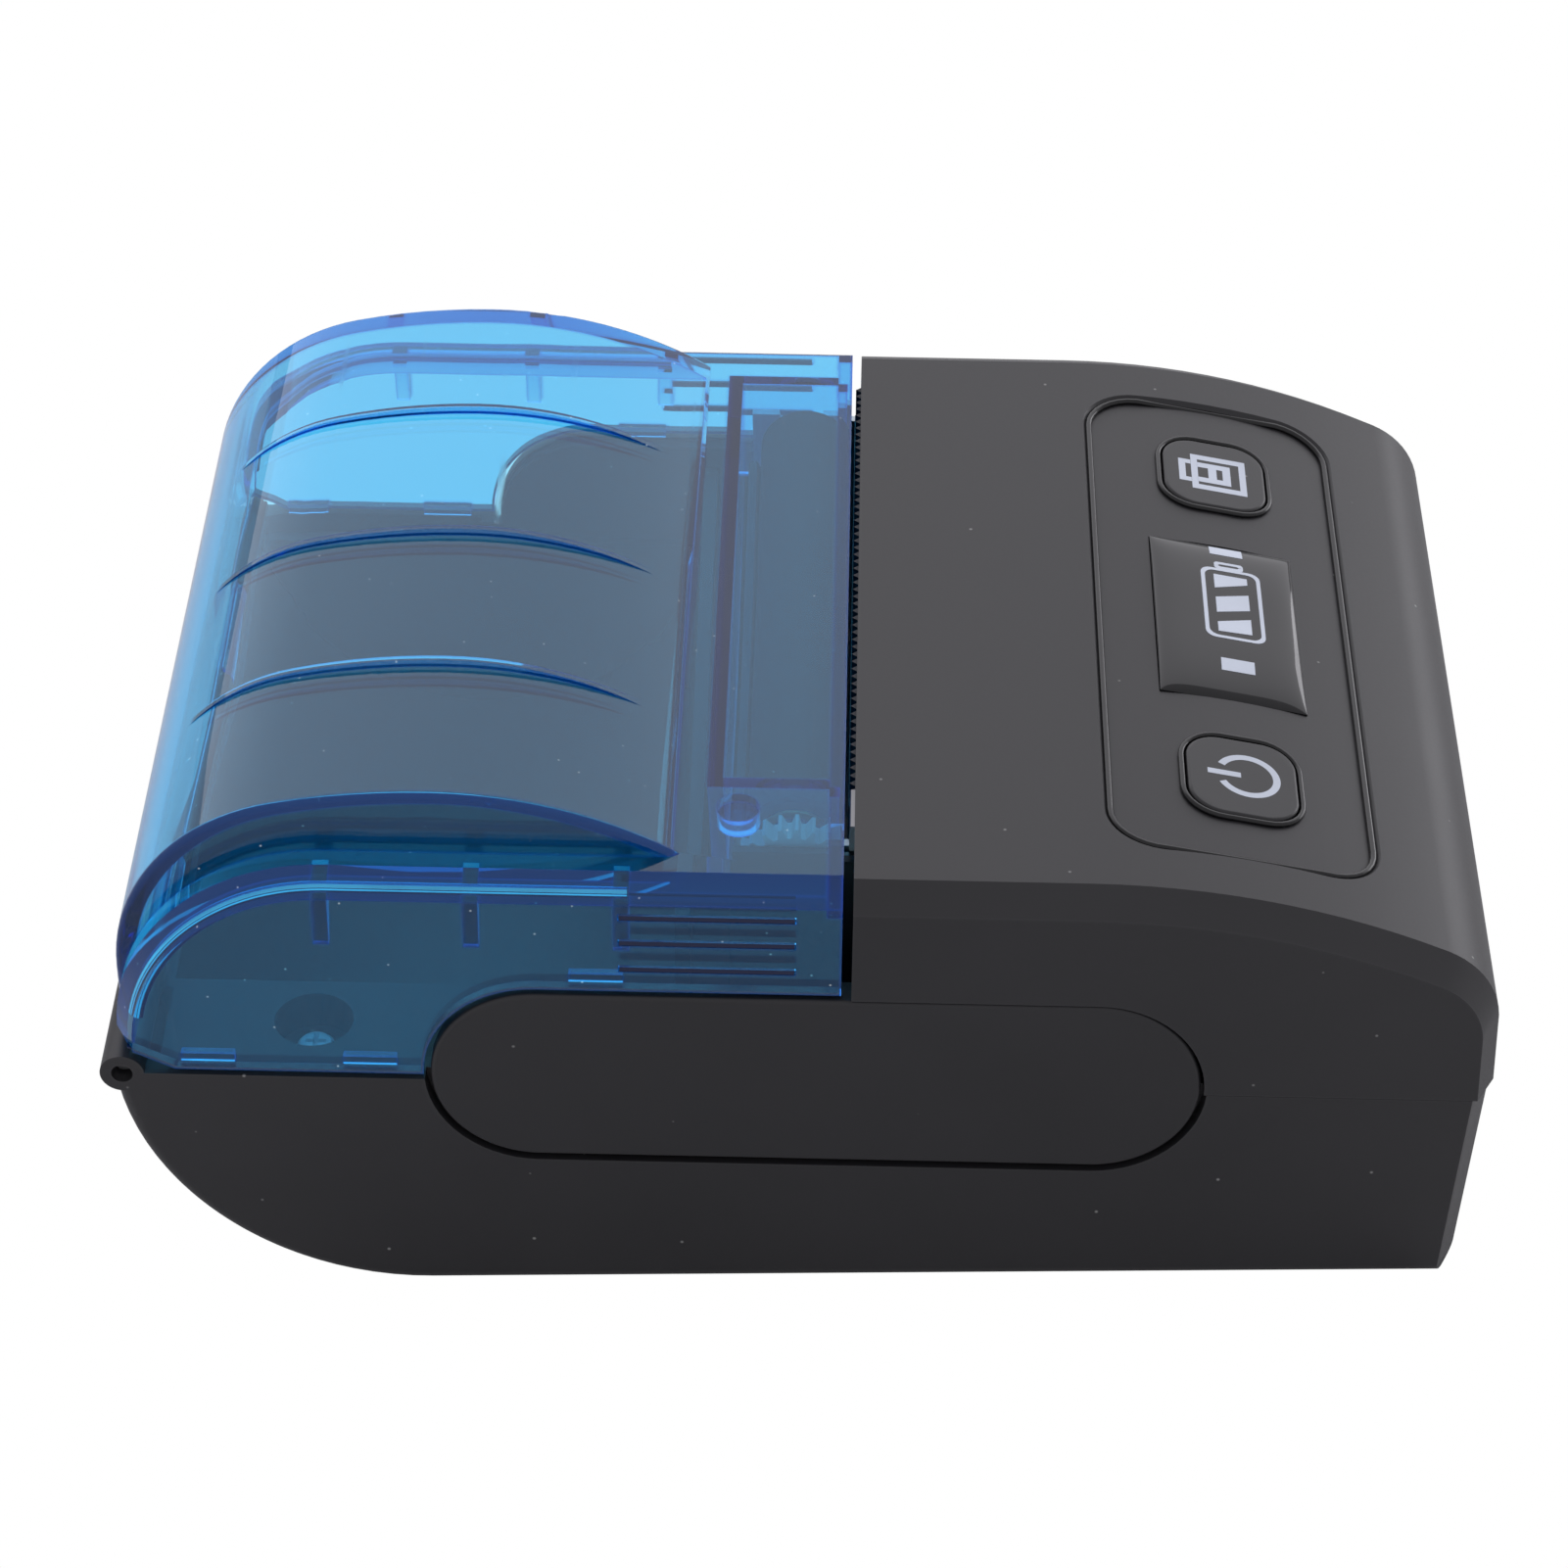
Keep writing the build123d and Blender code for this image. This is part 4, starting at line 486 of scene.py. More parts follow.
finishes = {
    "shell_black": plastic("shellBlack", (0.0190, 0.0186, 0.0208, 1), 0.43, bump=0.10, edge=0.06),
    "lid_clear": clearBlue("lidBlue"),
    "inner_black": plastic("innerBlack", (0.014, 0.014, 0.015, 1), 0.5, 0.02, bump=0.004, dust=0.1, edge=0.0),
    "button_black": plastic("buttonBlack", (0.017, 0.017, 0.0187, 1), 0.36, bump=0.08, edge=0.35),
    "label_black": gloss("labelEpoxy", (0.006, 0.006, 0.007, 1), 0.03, 0.03, 0.1),
    "steel": metal("rolledSteel", (0.56, 0.57, 0.58, 1), 0.25),
    "bright_steel": metal("brightSteel", (0.75, 0.76, 0.78, 1), 0.16, 0.12),
    "black_screw": metal("blackScrew", (0.05, 0.05, 0.052, 1), 0.35),
    "aluminium": metal("aluminium", (0.72, 0.73, 0.74, 1), 0.33, stretch=(1.0, 0.02, 1.0)),
    "head_ceramic": gloss("headCeramic", (0.11, 0.10, 0.09, 1), 0.12),
    "platen_rubber": plastic("platenRubber", (0.016, 0.016, 0.017, 1), 0.75, 0.12, 2600.0, 0.3, edge=0.1),
    "gear_white": plastic("gearWhite", (0.72, 0.73, 0.7, 1), 0.4, 0.1, 2200.0, 0.1, edge=0.0),
    "guide_grey": plastic("guideGrey", (0.03, 0.03, 0.032, 1), 0.45, spread=0.02, bump=0.01),
    "board_green": gloss("boardGreen", (0.012, 0.10, 0.045, 1), 0.25, 0.15, 0.1),
    "chip_black": plastic("chipBlack", (0.02, 0.02, 0.021, 1), 0.6, 0.1, 5200.0, 0.25),
    "flex_amber": striped("flexAmber", (0.30, 0.11, 0.015, 1), (0.52, 0.24, 0.05, 1), 0.001, 0.22),
    "brass": metal("brass", (0.72, 0.52, 0.22, 1), 0.25),
    "lamp_white": gloss("lampResin", (0.75, 0.75, 0.66, 1), 0.15),
    "guide_clear": gloss("guideResin", (0.75, 0.77, 0.78, 1), 0.3),
    "battery_wrap": gloss("batteryWrap", (0.012, 0.045, 0.15, 1), 0.25, 0.12, 0.2),
}
printWhite = plastic("printWhite", lit(214, 222, 236), 0.5, 0.08, 5000.0, 0.08, dust=0.0, edge=0.0)
barBlack = metal("barBlack", (0.055, 0.055, 0.06, 1), 0.4, 0.1)
# Near-black gloss for the beads that stand in for the shade in the panel's grooves: painted shade
grooveShadeGloss = gloss("grooveShadeGloss", (0.004, 0.004, 0.0045, 1), 0.14, 0.05, 0.05)
# Opaque bright cyan metal for the lid's rim beads: a painted highlight
rimHighlightCyan = metal("rimHighlightCyan", (0.14, 0.62, 0.90, 1), 0.12, 0.05)
# Dark navy for the strips that darken the lid's hem and grip grooves: painted shade
shadeStripNavy = gloss("shadeStripNavy", (0.003, 0.010, 0.055, 1), 0.2, 0.05, 0.05)
clipSteel = metal("clipSteel", (0.22, 0.22, 0.23, 1), 0.3, 0.12)
paleZinc = gloss("paleZinc", (0.85, 0.88, 0.90, 1), 0.3, 0.1, 0.3)
ownFinish = {"tear_bar": barBlack, "tear_bar_clip": clipSteel, "tray_screws": paleZinc}
for part in frame["record"]["subparts"]:
    node = nodes[part["node"]]
    node.data.materials.clear()
    node.data.materials.append(ownFinish.get(part["node"], finishes[part["material_slot"]]))
print("materials made")


# Outer skins, the same forms evenly shaded: name, body and the steepest fold that still shades smoothly
skins = {
    "upper_shell": ("frontCover", "base", 20),
    "lower_shell": ("tub", "base", 31),
    "side_panel_near": ("sidePanelNear", "base", 40),
    "side_panel_far": ("sidePanelFar", "base", 40),
    "lid": ("clearLid", "lid", 25),
    "feed_button": ("feedCap", "feed", 40),
    "power_button": ("powerCap", "power", 40),
}
slotOf = {part["node"]: part["material_slot"] for part in frame["record"]["subparts"]}
for node, (name, body, angle) in skins.items():
    fit(smoothed(node, name, angle), finishes[slotOf[node]], body, stands=(node,))
print("skins made:", len(skins))


# Printed marks on the buttons and the label, in panel millimetres
def stamp(name, outlines, height, thickness, body):
    # Closed outlines, each a list of points or a pair (outer, inner) of equal length, at a height over (x, y)
    shape = bmesh.new()

    def level(points, depth):
        return [shape.verts.new((x, y, height(x, y) - depth)) for x, y in points]

    def ringFaces(outer, inner):
        (topOut, topIn), (lowOut, lowIn) = [
            [level(side, depth) for side in (outer, inner)] for depth in (0.0, thickness)
        ]
        for i in range(len(outer)):
            j = (i + 1) % len(outer)
            shape.faces.new((topOut[i], topOut[j], topIn[j], topIn[i]))
            shape.faces.new((lowOut[j], lowOut[i], lowIn[i], lowIn[j]))
            shape.faces.new((lowOut[i], lowOut[j], topOut[j], topOut[i]))
            shape.faces.new((topIn[i], topIn[j], lowIn[j], lowIn[i]))

    def plateFaces(outline):
        top = level(outline, 0.0)
        low = level(outline, thickness)
        shape.faces.new(top)
        shape.faces.new(low[::-1])
        for i in range(len(outline)):
            j = (i + 1) % len(outline)
            shape.faces.new((low[i], low[j], top[j], top[i]))

    for outline in outlines:
        if isinstance(outline, tuple):
            ringFaces(*outline)
        else:
            plateFaces(outline)
    return fit(meshed(name, shape, panelToWorld), printWhite, body)


def boxOutline(low, high):
    return [(low[0], low[1]), (high[0], low[1]), (high[0], high[1]), (low[0], high[1])]


def roundedBox(low, high, radius, steps=5):
    # Corners of a rounded rectangle, counted from its front far corner
    points = []
    for turn, (x, y) in enumerate((
        (high[0] - radius, high[1] - radius), (low[0] + radius, high[1] - radius),
        (low[0] + radius, low[1] + radius), (high[0] - radius, low[1] + radius),
    )):
        for step in range(steps + 1):
            angle = (turn + step / steps) * math.pi / 2
            points.append((x + radius * math.cos(angle), y + radius * math.sin(angle)))
    return points


powerMark = {
    "centre": (0.42, 0.2), "radius": 2.65, "line": 0.6, "gap": 27.0, "steps": 40,
    "bar": (-2.85, -0.15), "barWidth": 0.62,
}


def powerOutlines():
    mark = powerMark
    x, y = mark["centre"]
    arcs = []
    for radius in (mark["radius"], mark["radius"] - mark["line"]):
        arcs.append([])
        for i in range(mark["steps"] + 1):
            angle = math.radians(180 - mark["gap"] - (360 - 2 * mark["gap"]) * i / mark["steps"])
            arcs[-1].append((x + radius * math.cos(angle), y + radius * math.sin(angle)))
    low, high = mark["bar"]
    half = mark["barWidth"] / 2
    return [arcs[0] + arcs[1][::-1], boxOutline((low, y - half), (high, y + half))]


# A paper sheet with lines of print in front of a slotted holder
feedMark = {
    "sheet": ((-2.05, -2.57), (2.78, 2.57)), "line": (0.58, 0.7), "print": ((-1.5, -1.45), (1.42, 1.45)),
    "printLine": 0.7, "middle": (-0.55, 0.19), "holder": (-3.15, 1.63, 0.6), "holderGap": 0.02,
}


def feedOutlines():
    mark = feedMark
    (x0, y0), (x1, y1) = mark["sheet"]
    wide, tall = mark["line"]
    sheet = (boxOutline((x0, y0), (x1, y1)), boxOutline((x0 + wide, y0 + tall), (x1 - wide, y1 - tall)))
    (a0, b0), (a1, b1) = mark["print"]
    t = mark["printLine"]
    bars = [
        boxOutline((a0, b0), (a1, b0 + t)), boxOutline((a0, b1 - t), (a1, b1)),
        boxOutline((a1 - t, b0 + t), (a1, b1 - t)),
        boxOutline((mark["middle"][0], b0 + t), (mark["middle"][1], b1 - t)),
    ]
    rear, half, thick = mark["holder"]
    front = x0 - mark["holderGap"]
    holder = [
        (front, half), (rear, half), (rear, -half), (front, -half), (front, thick - half),
        (rear + thick, thick - half), (rear + thick, half - thick), (front, half - thick),
    ]
    return [sheet, *bars, holder]


# Battery gauge with three slanting bars, and a window at each end of the label
labelMark = {
    "case": ((-2.1, -3.2), (2.98, 6.7), 0.9), "cap": ((-0.86, 6.7), (1.62, 7.7), 0.3),
    "line": 0.34, "innerCornerLess": 0.085,
    "bars": (((5.75, 3.76), (5.75, 4.85)), ((2.45, 0.33), (3.38, 1.22)), ((-1.01, -2.3), (-0.05, -2.15))),
    "barReach": (-1.0, 1.85), "windows": (((-1.1, 8.9), (1.72, 10.2)), ((-1.0, -7.5), (1.8, -5.9))),
    "strips": 6, "step": 0.5, "lift": 0.03, "thickness": 0.05,
}


def labelOutlines():
    mark = labelMark
    t = mark["line"]
    outlines = []
    for low, high, radius in (mark["case"], mark["cap"]):
        outer = roundedBox(low, high, radius)
        innerRadius = radius - mark["innerCornerLess"]
        inner = roundedBox((low[0] + t, low[1] + t), (high[0] - t, high[1] - t), innerRadius)
        outlines.append(fineSteps(outer, inner, mark["step"]))
    rear, front = mark["barReach"]
    for (rearTop, rearLow), (frontTop, frontLow) in mark["bars"]:
        outlines.append([(rear, rearLow), (front, frontLow), (front, frontTop), (rear, rearTop)])
    for low, high in mark["windows"]:
        count = mark["strips"]
        step = (high[1] - low[1]) / count
        for i in range(count):
            strip = (low[0], low[1] + i * step), (high[0], low[1] + (i + 1) * step)
            outlines.append(boxOutline(*strip))
    return outlines


def fineSteps(outer, inner, step):
    # The same ring with points no further apart than a step
    fine = ([], [])
    for i in range(len(outer)):
        j = (i + 1) % len(outer)
        pieces = max(1, math.ceil(math.dist(outer[i], outer[j]) / step))
        for part in range(pieces):
            for target, side in zip(fine, (outer, inner)):
                target.append(tuple(a + (b - a) * part / pieces for a, b in zip(side[i], side[j])))
    return fine


def placed(outlines, middle):
    # The same outlines further along the seam
    def moved(outline):
        if isinstance(outline, tuple):
            return tuple(moved(side) for side in outline)
        return [(x, y + middle) for x, y in outline]

    return [moved(outline) for outline in outlines]


# Dark strips in the lid, along its hem and in the grip grooves: painted shade where the clear plastic looks
# dark
shadeStrip = {
    "hem": 19.65, "hemStart": -52.2, "bevelRun": 3.8, "bevelSlope": 0.51, "front": -0.6, "wall": (37.3, 38.6),
    "pillRear": -24.1, "pillHeight": 19.75, "pillReach": 8.85, "arcSteps": 14, "gap": 0.05, "thickness": 0.16,
    "grips": (35.9, 33.4, 30.8), "gripRun": (-17.5, -4.1), "gripWidth": 0.52, "gripDepth": (38.3, 38.66),
}


def arcPath(centre, reach, first, last, steps):
    # Points of an arc in the case's side view, between two angles in radians
    turns = [first + (last - first) * i / steps for i in range(steps + 1)]
    return [(centre[0] + reach * math.cos(turn), centre[1] + reach * math.sin(turn)) for turn in turns]


def hemPath(gap):
    low = shadeStrip["hem"] + gap
    reach = shadeStrip["pillReach"] + gap
    centre = (shadeStrip["pillRear"], shadeStrip["pillHeight"])
    start = math.pi - math.asin((low - centre[1]) / reach)
    rear = shadeStrip["hemStart"]
    run = shadeStrip["bevelRun"]
    path = [(rear - run, low + run * shadeStrip["bevelSlope"]), (rear, low)]
    path += arcPath(centre, reach, start, math.pi / 2, shadeStrip["arcSteps"])
    return path + [(shadeStrip["front"], centre[1] + reach)]


def makeStrip(name, lower, upper, wall):
    # A closed strip between two side outlines and two distances from the middle
    shape = bmesh.new()
    rails = [[shape.verts.new((x, y, z)) for x, z in path] for path in (lower, upper) for y in wall]
    lowIn, lowOut, highIn, highOut = rails
    for i in range(len(lower) - 1):
        for a, b in ((lowIn, lowOut), (lowOut, highOut), (highOut, highIn), (highIn, lowIn)):
            shape.faces.new((a[i], a[i + 1], b[i + 1], b[i]))
    for end in (0, -1):
        shape.faces.new((lowIn[end], lowOut[end], highOut[end], highIn[end]))
    fit(meshed(name, shape, caseToWorld), shadeStripNavy, "lid")


for label, side in (("Near", -1), ("Far", 1)):
    wall = [side * y for y in shadeStrip["wall"]]
    lower, upper = [hemPath(shadeStrip["gap"] + rise) for rise in (0.0, shadeStrip["thickness"])]
    makeStrip("hemLining" + label, lower, upper, wall)
    wall = [side * y for y in shadeStrip["gripDepth"]]
    for number, height in enumerate(shadeStrip["grips"], 1):
        half = shadeStrip["gripWidth"] / 2
        lower, upper = [[(x, z) for x in shadeStrip["gripRun"]] for z in (height - half, height + half)]
        makeStrip("gripLining%s%d" % (label, number), lower, upper, wall)
print("shadeStrips made")


tubeRoundness = 3


def makeTube(name, path, radius, toWorld, material, body, closed=True):
    # A round bead along a line of points, with shut ends where the line is open
    curve = bpy.data.curves.new(name, "CURVE")
    curve.dimensions = "3D"
    curve.bevel_depth = radius
    curve.bevel_resolution = tubeRoundness
    curve.use_fill_caps = not closed
    line = curve.splines.new("POLY")
    line.points.add(len(path) - 1)
    for point, place in zip(line.points, path):
        point.co = (*place, 1)
    line.use_cyclic_u = closed
    source = newObject(name + "Line", curve)
    mesh = evaluatedMesh(source)
    bpy.data.objects.remove(source)
    mesh.transform(toWorld)
    for face in mesh.polygons:
        face.use_smooth = True
    return fit(newObject(name, mesh), material, body)


# The round inner corner of the lid's roof and sides, as a bead of opaque bright cyan metal: its form is the
# lid's own, its colour and shine a painted highlight
roofRim = {
    "centre": (-39.9, 21.6), "turn": 15.42, "side": 37.12, "radius": 0.46, "foot": 10.0, "front": -16.9,
    "arcSteps": 24,
}
for label, side in (("Near", -1), ("Far", 1)):
    foot = math.radians(180 - roofRim["foot"])
    line = arcPath(roofRim["centre"], roofRim["turn"], foot, math.pi / 2, roofRim["arcSteps"])
    line.append((roofRim["front"], line[-1][1]))
    path = [(x, side * roofRim["side"], z) for x, z in line]
    makeTube("rimBead" + label, path, roofRim["radius"], caseToWorld, rimHighlightCyan, "lid", closed=False)

# Dark glossy beads along the border of the sunk panel and round the button wells: painted shade for the dark
# grooves there
bead = {
    "recess": ((-10.9, -31.3), (10.6, 31.3)), "recessCorner": 4.5, "recessInset": 0.2, "recessRadius": 0.3,
    "well": (4.8, 5.15), "wellCorner": 3.2, "wellInset": -0.04, "wellRadius": 0.26,
    "drum": 67.0, "lift": 0.12, "cornerSteps": 8,
}


def sunkHeight(x):
    # The sunk floor follows the cover's crown
    drum = bead["drum"]
    return math.sqrt((drum - panel["sink"]) ** 2 - x ** 2) - drum


def makeBead(name, low, high, corner, inset, radius):
    low, high = [value + inset for value in low], [value - inset for value in high]
    outline = roundedBox(low, high, corner - inset, bead["cornerSteps"])
    path = [(x, y, sunkHeight(x) + bead["lift"]) for x, y in outline]
    return makeTube(name, path, radius, panelToWorld, grooveShadeGloss, "base")


makeBead("recessBead", *bead["recess"], bead["recessCorner"], bead["recessInset"], bead["recessRadius"])
for label, side in (("feed", 1), ("power", -1)):
    halfLength, halfWidth = bead["well"]
    middle = side * panel["spread"]
    makeBead(label + "Bead", (-halfLength, middle - halfWidth), (halfLength, middle + halfWidth),
             bead["wellCorner"], bead["wellInset"], bead["wellRadius"])
print("beads made")

capMark = {"capHeight": 0.3, "lift": 0.012, "thickness": 0.03}
capTop = capMark["capHeight"] - panel["sink"] + capMark["lift"]
for body, outlines, side in (("power", powerOutlines(), -1), ("feed", feedOutlines(), 1)):
    marks = placed(outlines, side * panel["spread"])
    stamp(body + "Mark", marks, lambda x, y: capTop, capMark["thickness"], body)

# The label: print under a domed drop of clear resin
drop = {
    "length": 12.2, "width": 21.5, "foot": -1.0, "rise": 0.15, "sag": 0.75, "falls": (5, 4),
    "columns": 40, "rows": 60,
}


def dropHeight(x, y):
    # Nearly flat in the middle, falling away ever more steeply towards the rim
    s = min(abs(x) * 2 / drop["length"], 1)
    t = min(abs(y) * 2 / drop["width"], 1)
    alongFall, acrossFall = drop["falls"]
    level = math.sqrt(max(1 - s ** alongFall, 0)) * math.sqrt(max(1 - t ** acrossFall, 0))
    return drop["rise"] - drop["sag"] * (1 - level)


def makeLabel():
    shape = bmesh.new()
    columns, rows = drop["columns"], drop["rows"]

    def spread(i, count, size):
        # Closer rows towards both ends
        return math.sin(math.pi * (i / count - 0.5)) * size / 2

    grid = []
    for i in range(columns + 1):
        x = spread(i, columns, drop["length"])
        grid.append([shape.verts.new((x, spread(j, rows, drop["width"]), 0)) for j in range(rows + 1)])
        for vert in grid[-1]:
            vert.co.z = dropHeight(vert.co.x, vert.co.y)
    for i in range(columns):
        for j in range(rows):
            corners = (grid[i][j], grid[i + 1][j], grid[i + 1][j + 1], grid[i][j + 1])
            shape.faces.new(corners).smooth = True
    rim = grid[0][:-1] + [column[-1] for column in grid[:-1]]
    rim += grid[-1][:0:-1] + [column[0] for column in grid[:0:-1]]
    low = [shape.verts.new((vert.co.x, vert.co.y, drop["foot"])) for vert in rim]
    for i in range(len(rim)):
        j = (i + 1) % len(rim)
        shape.faces.new((rim[i], rim[j], low[j], low[i]))
    shape.faces.new(low)
    return meshed("labelDrop", shape, panelToWorld)


fit(makeLabel(), finishes["label_black"], "base", stands=("indicator_label",))
stamp(
    "labelMarks", labelOutlines(), lambda x, y: dropHeight(x, y) + labelMark["lift"],
    labelMark["thickness"], "base",
)
print("marks and label made")


# Cross-head screws and coil springs, set on points by geometry nodes
def newRig(name, inputs):
    inputs = (("Spots", "Geometry"), *inputs, ("Turn", "Vector"), ("Material", "Material"))
    return newGroup(name, inputs, (("Geometry", "Geometry"),), "GeometryNodeTree")


def setOnSpots(group, given, result, form):
    # One copy of a form on each spot, all turned alike, as one plain mesh in one material
    points = addNode(group, "GeometryNodeMeshToPoints", {"Mesh": given["Spots"]})
    turn = addNode(group, "FunctionNodeEulerToRotation", {"Euler": given["Turn"]})
    copies = addNode(group, "GeometryNodeInstanceOnPoints", {
        "Points": points.outputs["Points"], "Instance": form, "Rotation": turn.outputs["Rotation"],
    })
    real = addNode(group, "GeometryNodeRealizeInstances", {"Geometry": copies.outputs["Instances"]})
    paint = addNode(group, "GeometryNodeSetMaterial", {
        "Geometry": real.outputs["Geometry"], "Material": given["Material"],
    })
    feed(group, result, {"Geometry": paint.outputs["Geometry"]})


def makeScrewRig():
    group, given, result = newRig("setScrews", (("Screw", "Object"),))
    screw = addNode(group, "GeometryNodeObjectInfo", {"Object": given["Screw"]})
    setOnSpots(group, given, result, screw.outputs["Geometry"])
    return group


spring = {"wire": 0.2, "turns": 3.5, "steps": 28, "wireSteps": 10}


def makeSpringRig():
    sizes = ("Turns", "Radius", "Length", "Wire")
    group, given, result = newRig("coilSprings", [(label, "Float") for label in sizes])
    coil = addNode(group, "GeometryNodeCurveSpiral", {
        "Resolution": spring["steps"], "Rotations": given["Turns"], "Height": given["Length"],
        "Start Radius": given["Radius"], "End Radius": given["Radius"],
    })
    wire = addNode(group, "GeometryNodeCurvePrimitiveCircle", {
        "Resolution": spring["wireSteps"], "Radius": given["Wire"],
    })
    swept = addNode(group, "GeometryNodeCurveToMesh", {
        "Curve": coil.outputs["Curve"], "Profile Curve": wire.outputs["Curve"], "Fill Caps": True,
    })
    setOnSpots(group, given, result, swept.outputs["Mesh"])
    return group


def rigged(name, spots, rig, values, toWorld):
    # A plain mesh made by a rig on a list of spots
    mesh = bpy.data.meshes.new(name)
    mesh.from_pydata(spots, [], [])
    piece = newObject(name, mesh)
    modifier = piece.modifiers.new("rig", "NODES")
    modifier.node_group = rig
    for item in rig.interface.items_tree:
        if item.in_out == "INPUT" and item.name in values:
            modifier[item.identifier] = values[item.name]
    settled(piece).data.transform(toWorld)
    return piece


def islands(node, toWorld):
    # The low and high corner of each loose part of a solid, in the millimetres of a plane
    back = toWorld.inverted()
    shape = bmesh.new()
    shape.from_mesh(nodes[node].data)
    bmesh.ops.remove_doubles(shape, verts=shape.verts, dist=care["merge"])
    left = set(shape.verts)
    boxes = []
    while left:
        stack = [left.pop()]
        found = []
        while stack:
            vert = stack.pop()
            found.append(back @ vert.co)
            for edge in vert.link_edges:
                other = edge.other_vert(vert)
                if other in left:
                    left.remove(other)
                    stack.append(other)
        boxes.append([[pick(point[i] for point in found) for i in range(3)] for pick in (min, max)])
    shape.free()
    return sorted(boxes)


# Each kind's head radius, head height, shank radius and length; the rest is shares of these
screwSizes = {"small": (1.6, 1.2, 0.75, 6.0), "case": (2.0, 1.5, 0.95, 15.0)}
screwForm = {
    "tip": 0.45, "dome": ((1, 0.35), (0.94, 0.62), (0.78, 0.86), (0.5, 0.97), (0, 1)), "steps": 36,
    "recess": 0.6, "armLength": 1.25, "armWidth": 0.26, "armFoot": 0.55, "armTop": 1.3,
}


def lathed(name, profile):
    # A closed form turned from (radius, height) points that start and end on the axis
    steps = screwForm["steps"]
    turns = [2 * math.pi * i / steps for i in range(steps)]
    shape = bmesh.new()
    rings = []
    for radius, z in profile:
        ring = [(radius * math.cos(turn), radius * math.sin(turn), z) for turn in turns]
        rings.append([shape.verts.new(point) for point in (ring if radius else [(0, 0, z)])])
    for low, high in zip(rings, rings[1:]):
        for i in range(steps):
            j = (i + 1) % steps
            if len(low) == 1:
                shape.faces.new((low[0], high[j], high[i]))
            elif len(high) == 1:
                shape.faces.new((low[i], low[j], high[0]))
            else:
                shape.faces.new((low[i], low[j], high[j], high[i]))
    return meshed(name, shape)


def slotBar(name, length, width, foot, top):
    # A bar that narrows downwards, for one arm of a cross recess
    shape = bmesh.new()
    bmesh.ops.create_cube(shape, size=1)
    for vert in shape.verts:
        share, level = (screwForm["armFoot"], foot) if vert.co.z < 0 else (1.0, top)
        vert.co = (vert.co.x * length * share, vert.co.y * width, level)
    return meshed(name, shape)


def makeScrew(name, head, height, shank, length):
    # Pan head over the seat at z = 0, shank below, a cross recess in the head
    form = screwForm
    profile = [(0, -length), (shank * form["tip"], -length), (shank, shank - length), (shank, 0), (head, 0)]
    screw = lathed(name, profile + [(head * out, height * up) for out, up in form["dome"]])
    foot, top = height - height * form["recess"], height * form["armTop"]
    reach, width = head * form["armLength"], head * form["armWidth"]
    arms = [slotBar(name + axis, reach, width, foot, top) for axis in ("ArmX", "ArmY")]
    arms[1].data.transform(Matrix.Rotation(math.pi / 2, 4, "Z"))
    for arm in arms:
        cut = screw.modifiers.new("recess", "BOOLEAN")
        cut.object, cut.operation, cut.solver = arm, "DIFFERENCE", "EXACT"
    settled(screw)
    for arm in arms:
        bpy.data.objects.remove(arm)
    return screw


screwRig = makeScrewRig()
springRig = makeSpringRig()
# Each set's name and kind, whether its heads point down, and the plane that it stands on
screwSets = {
    "tray_screws": ("trayScrews", "small", False, caseToWorld),
    "frame_screws": ("frameScrews", "small", False, caseToWorld),
    "board_screws": ("boardScrews", "small", False, caseToWorld),
    "case_screws": ("caseScrews", "case", True, caseToWorld),
    "key_board_screws": ("keyBoardScrews", "small", True, panelToWorld),
}
for node, (name, kind, headDown, toWorld) in screwSets.items():
    size = screwSizes[kind]
    sample = makeScrew(name + "Sample", *size)
    spots = []
    for low, high in islands(node, toWorld):
        seat = low[2] + size[1] if headDown else high[2] - size[1]
        spots.append(((low[0] + high[0]) / 2, (low[1] + high[1]) / 2, seat))
    finish = ownFinish.get(node, finishes[slotOf[node]])
    values = {"Screw": sample, "Turn": (math.pi if headDown else 0.0, 0.0, 0.0), "Material": finish}
    piece = rigged(name, spots, screwRig, values, toWorld)
    bpy.data.objects.remove(sample)
    fit(piece, finish, "base", stands=(node,))

wire = spring["wire"]
spots = []
for low, high in islands("head_springs", caseToWorld):
    length, radius = high[0] - low[0] - 2 * wire, (high[2] - low[2]) / 2 - wire
    spots.append((low[0] + wire, (low[1] + high[1]) / 2, (low[2] + high[2]) / 2))
finish = finishes[slotOf["head_springs"]]
values = {
    "Turns": spring["turns"], "Radius": radius, "Length": length, "Wire": wire,
    "Turn": (0.0, math.pi / 2, 0.0), "Material": finish,
}
springs = rigged("headSprings", spots, springRig, values, caseToWorld)
for face in springs.data.polygons:
    face.use_smooth = True
fit(springs, finish, "base", stands=("head_springs",))
print("screws and springs set")


# Camera: angles in degrees, its place in the case's millimetres, its focal length in pixels of the picture
shot = {
    "azimuth": -0.8317, "elevation": 38.1594, "roll": 0.6559, "place": (-1.2327, -302.298, 256.3378),
    "focal": 4625.29, "pixels": 1601, "sensor": 36, "clip": (0.01, 20),
}


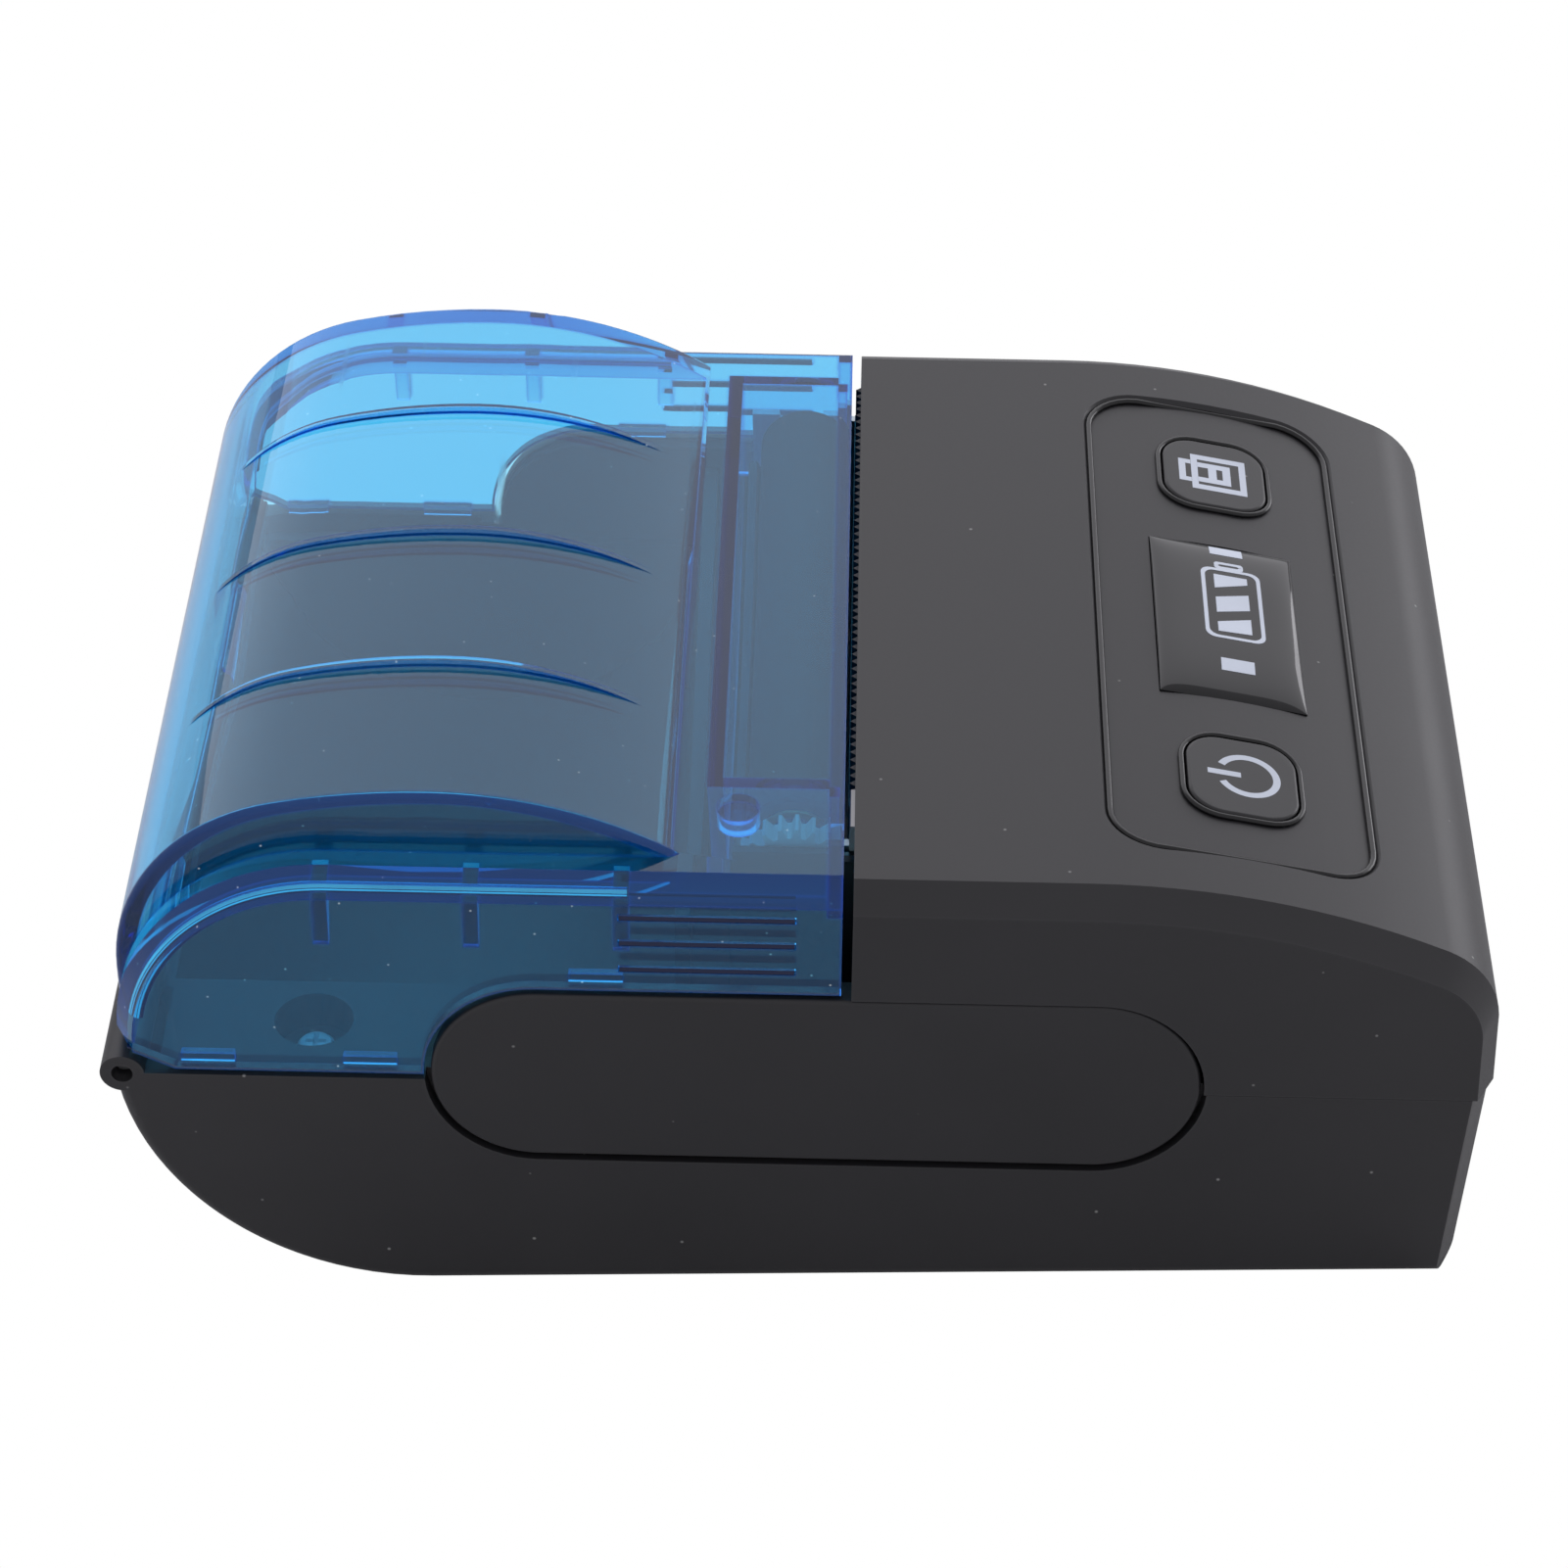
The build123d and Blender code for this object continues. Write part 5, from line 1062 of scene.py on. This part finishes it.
def aimCamera():
    azimuth, elevation, roll = (math.radians(shot[key]) for key in ("azimuth", "elevation", "roll"))
    level = math.cos(elevation)
    ahead = Vector((math.sin(azimuth) * level, math.cos(azimuth) * level, -math.sin(elevation)))
    right = ahead.cross(Vector((0, 0, 1))).normalized()
    up = right.cross(ahead)
    turned = (
        math.cos(roll) * right + math.sin(roll) * up, math.cos(roll) * up - math.sin(roll) * right, -ahead,
    )
    lean = Matrix.Rotation(math.radians(case["lean"]), 3, "Y")
    axes = Matrix([lean @ axis for axis in turned]).transposed()
    camera = newObject("camera", bpy.data.cameras.new("camera"))
    bpy.context.scene.camera = camera
    camera.matrix_world = Matrix.Translation(caseToWorld @ Vector(shot["place"])) @ axes.to_4x4()
    camera.data.sensor_width = shot["sensor"]
    camera.data.lens = shot["focal"] * shot["sensor"] / shot["pixels"]
    camera.data.clip_start, camera.data.clip_end = shot["clip"]


aimCamera()

# Floor, sky and two lamps, in metres and watts; the lamps look at a point over the middle
studio = {
    "sky": 0.58, "tint": (0.99, 0.98, 1.03), "aim": (0, 0, 0.02),
    "floor": {"half": 3, "level": -0.0001, "tone": 0.80, "rough": 0.9, "shine": 0.1, "glow": 1.0},
    "back": {"power": 12.5, "size": (3.4, 1.5), "place": (0.1, 1.37, 0.88)},
    "side": {"power": 6.5, "size": (1.3, 0.7), "place": (1.7, 1.3, 0.35)},
}


def makeFloor():
    # Paper lit from behind as well: looked at straight or through the lid it is evenly white
    values = studio["floor"]
    half, level = values["half"], values["level"]
    mesh = bpy.data.meshes.new("floor")
    corners = [(x, y, level) for x, y in boxOutline((-half, -half), (half, half))]
    mesh.from_pydata(corners, [], [(0, 1, 2, 3)])
    material, tree, surface = newMaterial("floorPaper")
    feed(tree, surface, {
        "Base Color": (values["tone"],) * 3 + (1,), "Roughness": values["rough"],
        "Specular IOR Level": values["shine"],
    })
    glow = addNode(tree, "ShaderNodeEmission", {"Strength": values["glow"]})
    rays = addNode(tree, "ShaderNodeLightPath").outputs
    seen = calc(tree, "MAXIMUM", rays["Is Camera Ray"], rays["Is Transmission Ray"])
    pick = {"Fac": seen, 1: surface.outputs["BSDF"], 2: glow.outputs["Emission"]}
    feed(tree, tree.nodes["Material Output"], {
        "Surface": addNode(tree, "ShaderNodeMixShader", pick).outputs["Shader"],
    })
    mesh.materials.append(material)
    return newObject("floor", mesh)


floor = makeFloor()
floor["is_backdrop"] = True

world = bpy.data.worlds.new("studio")
bpy.context.scene.world = world
world.use_nodes = True
feed(world.node_tree, world.node_tree.nodes["Background"], {
    "Color": studio["tint"] + (1,), "Strength": studio["sky"],
})

for name in ("back", "side"):
    values = studio[name]
    lamp = newObject(name + "Lamp", bpy.data.lights.new(name + "Lamp", "AREA"))
    lamp.data.shape = "RECTANGLE"
    lamp.data.size, lamp.data.size_y = values["size"]
    lamp.data.energy = values["power"]
    lamp.data.color = studio["tint"]
    lamp.location = values["place"]
    lamp.rotation_euler = (Vector(studio["aim"]) - lamp.location).to_track_quat("-Z", "Y").to_euler()
bpy.context.scene.view_settings.view_transform = "Standard"
print("camera and light set")

low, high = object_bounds()
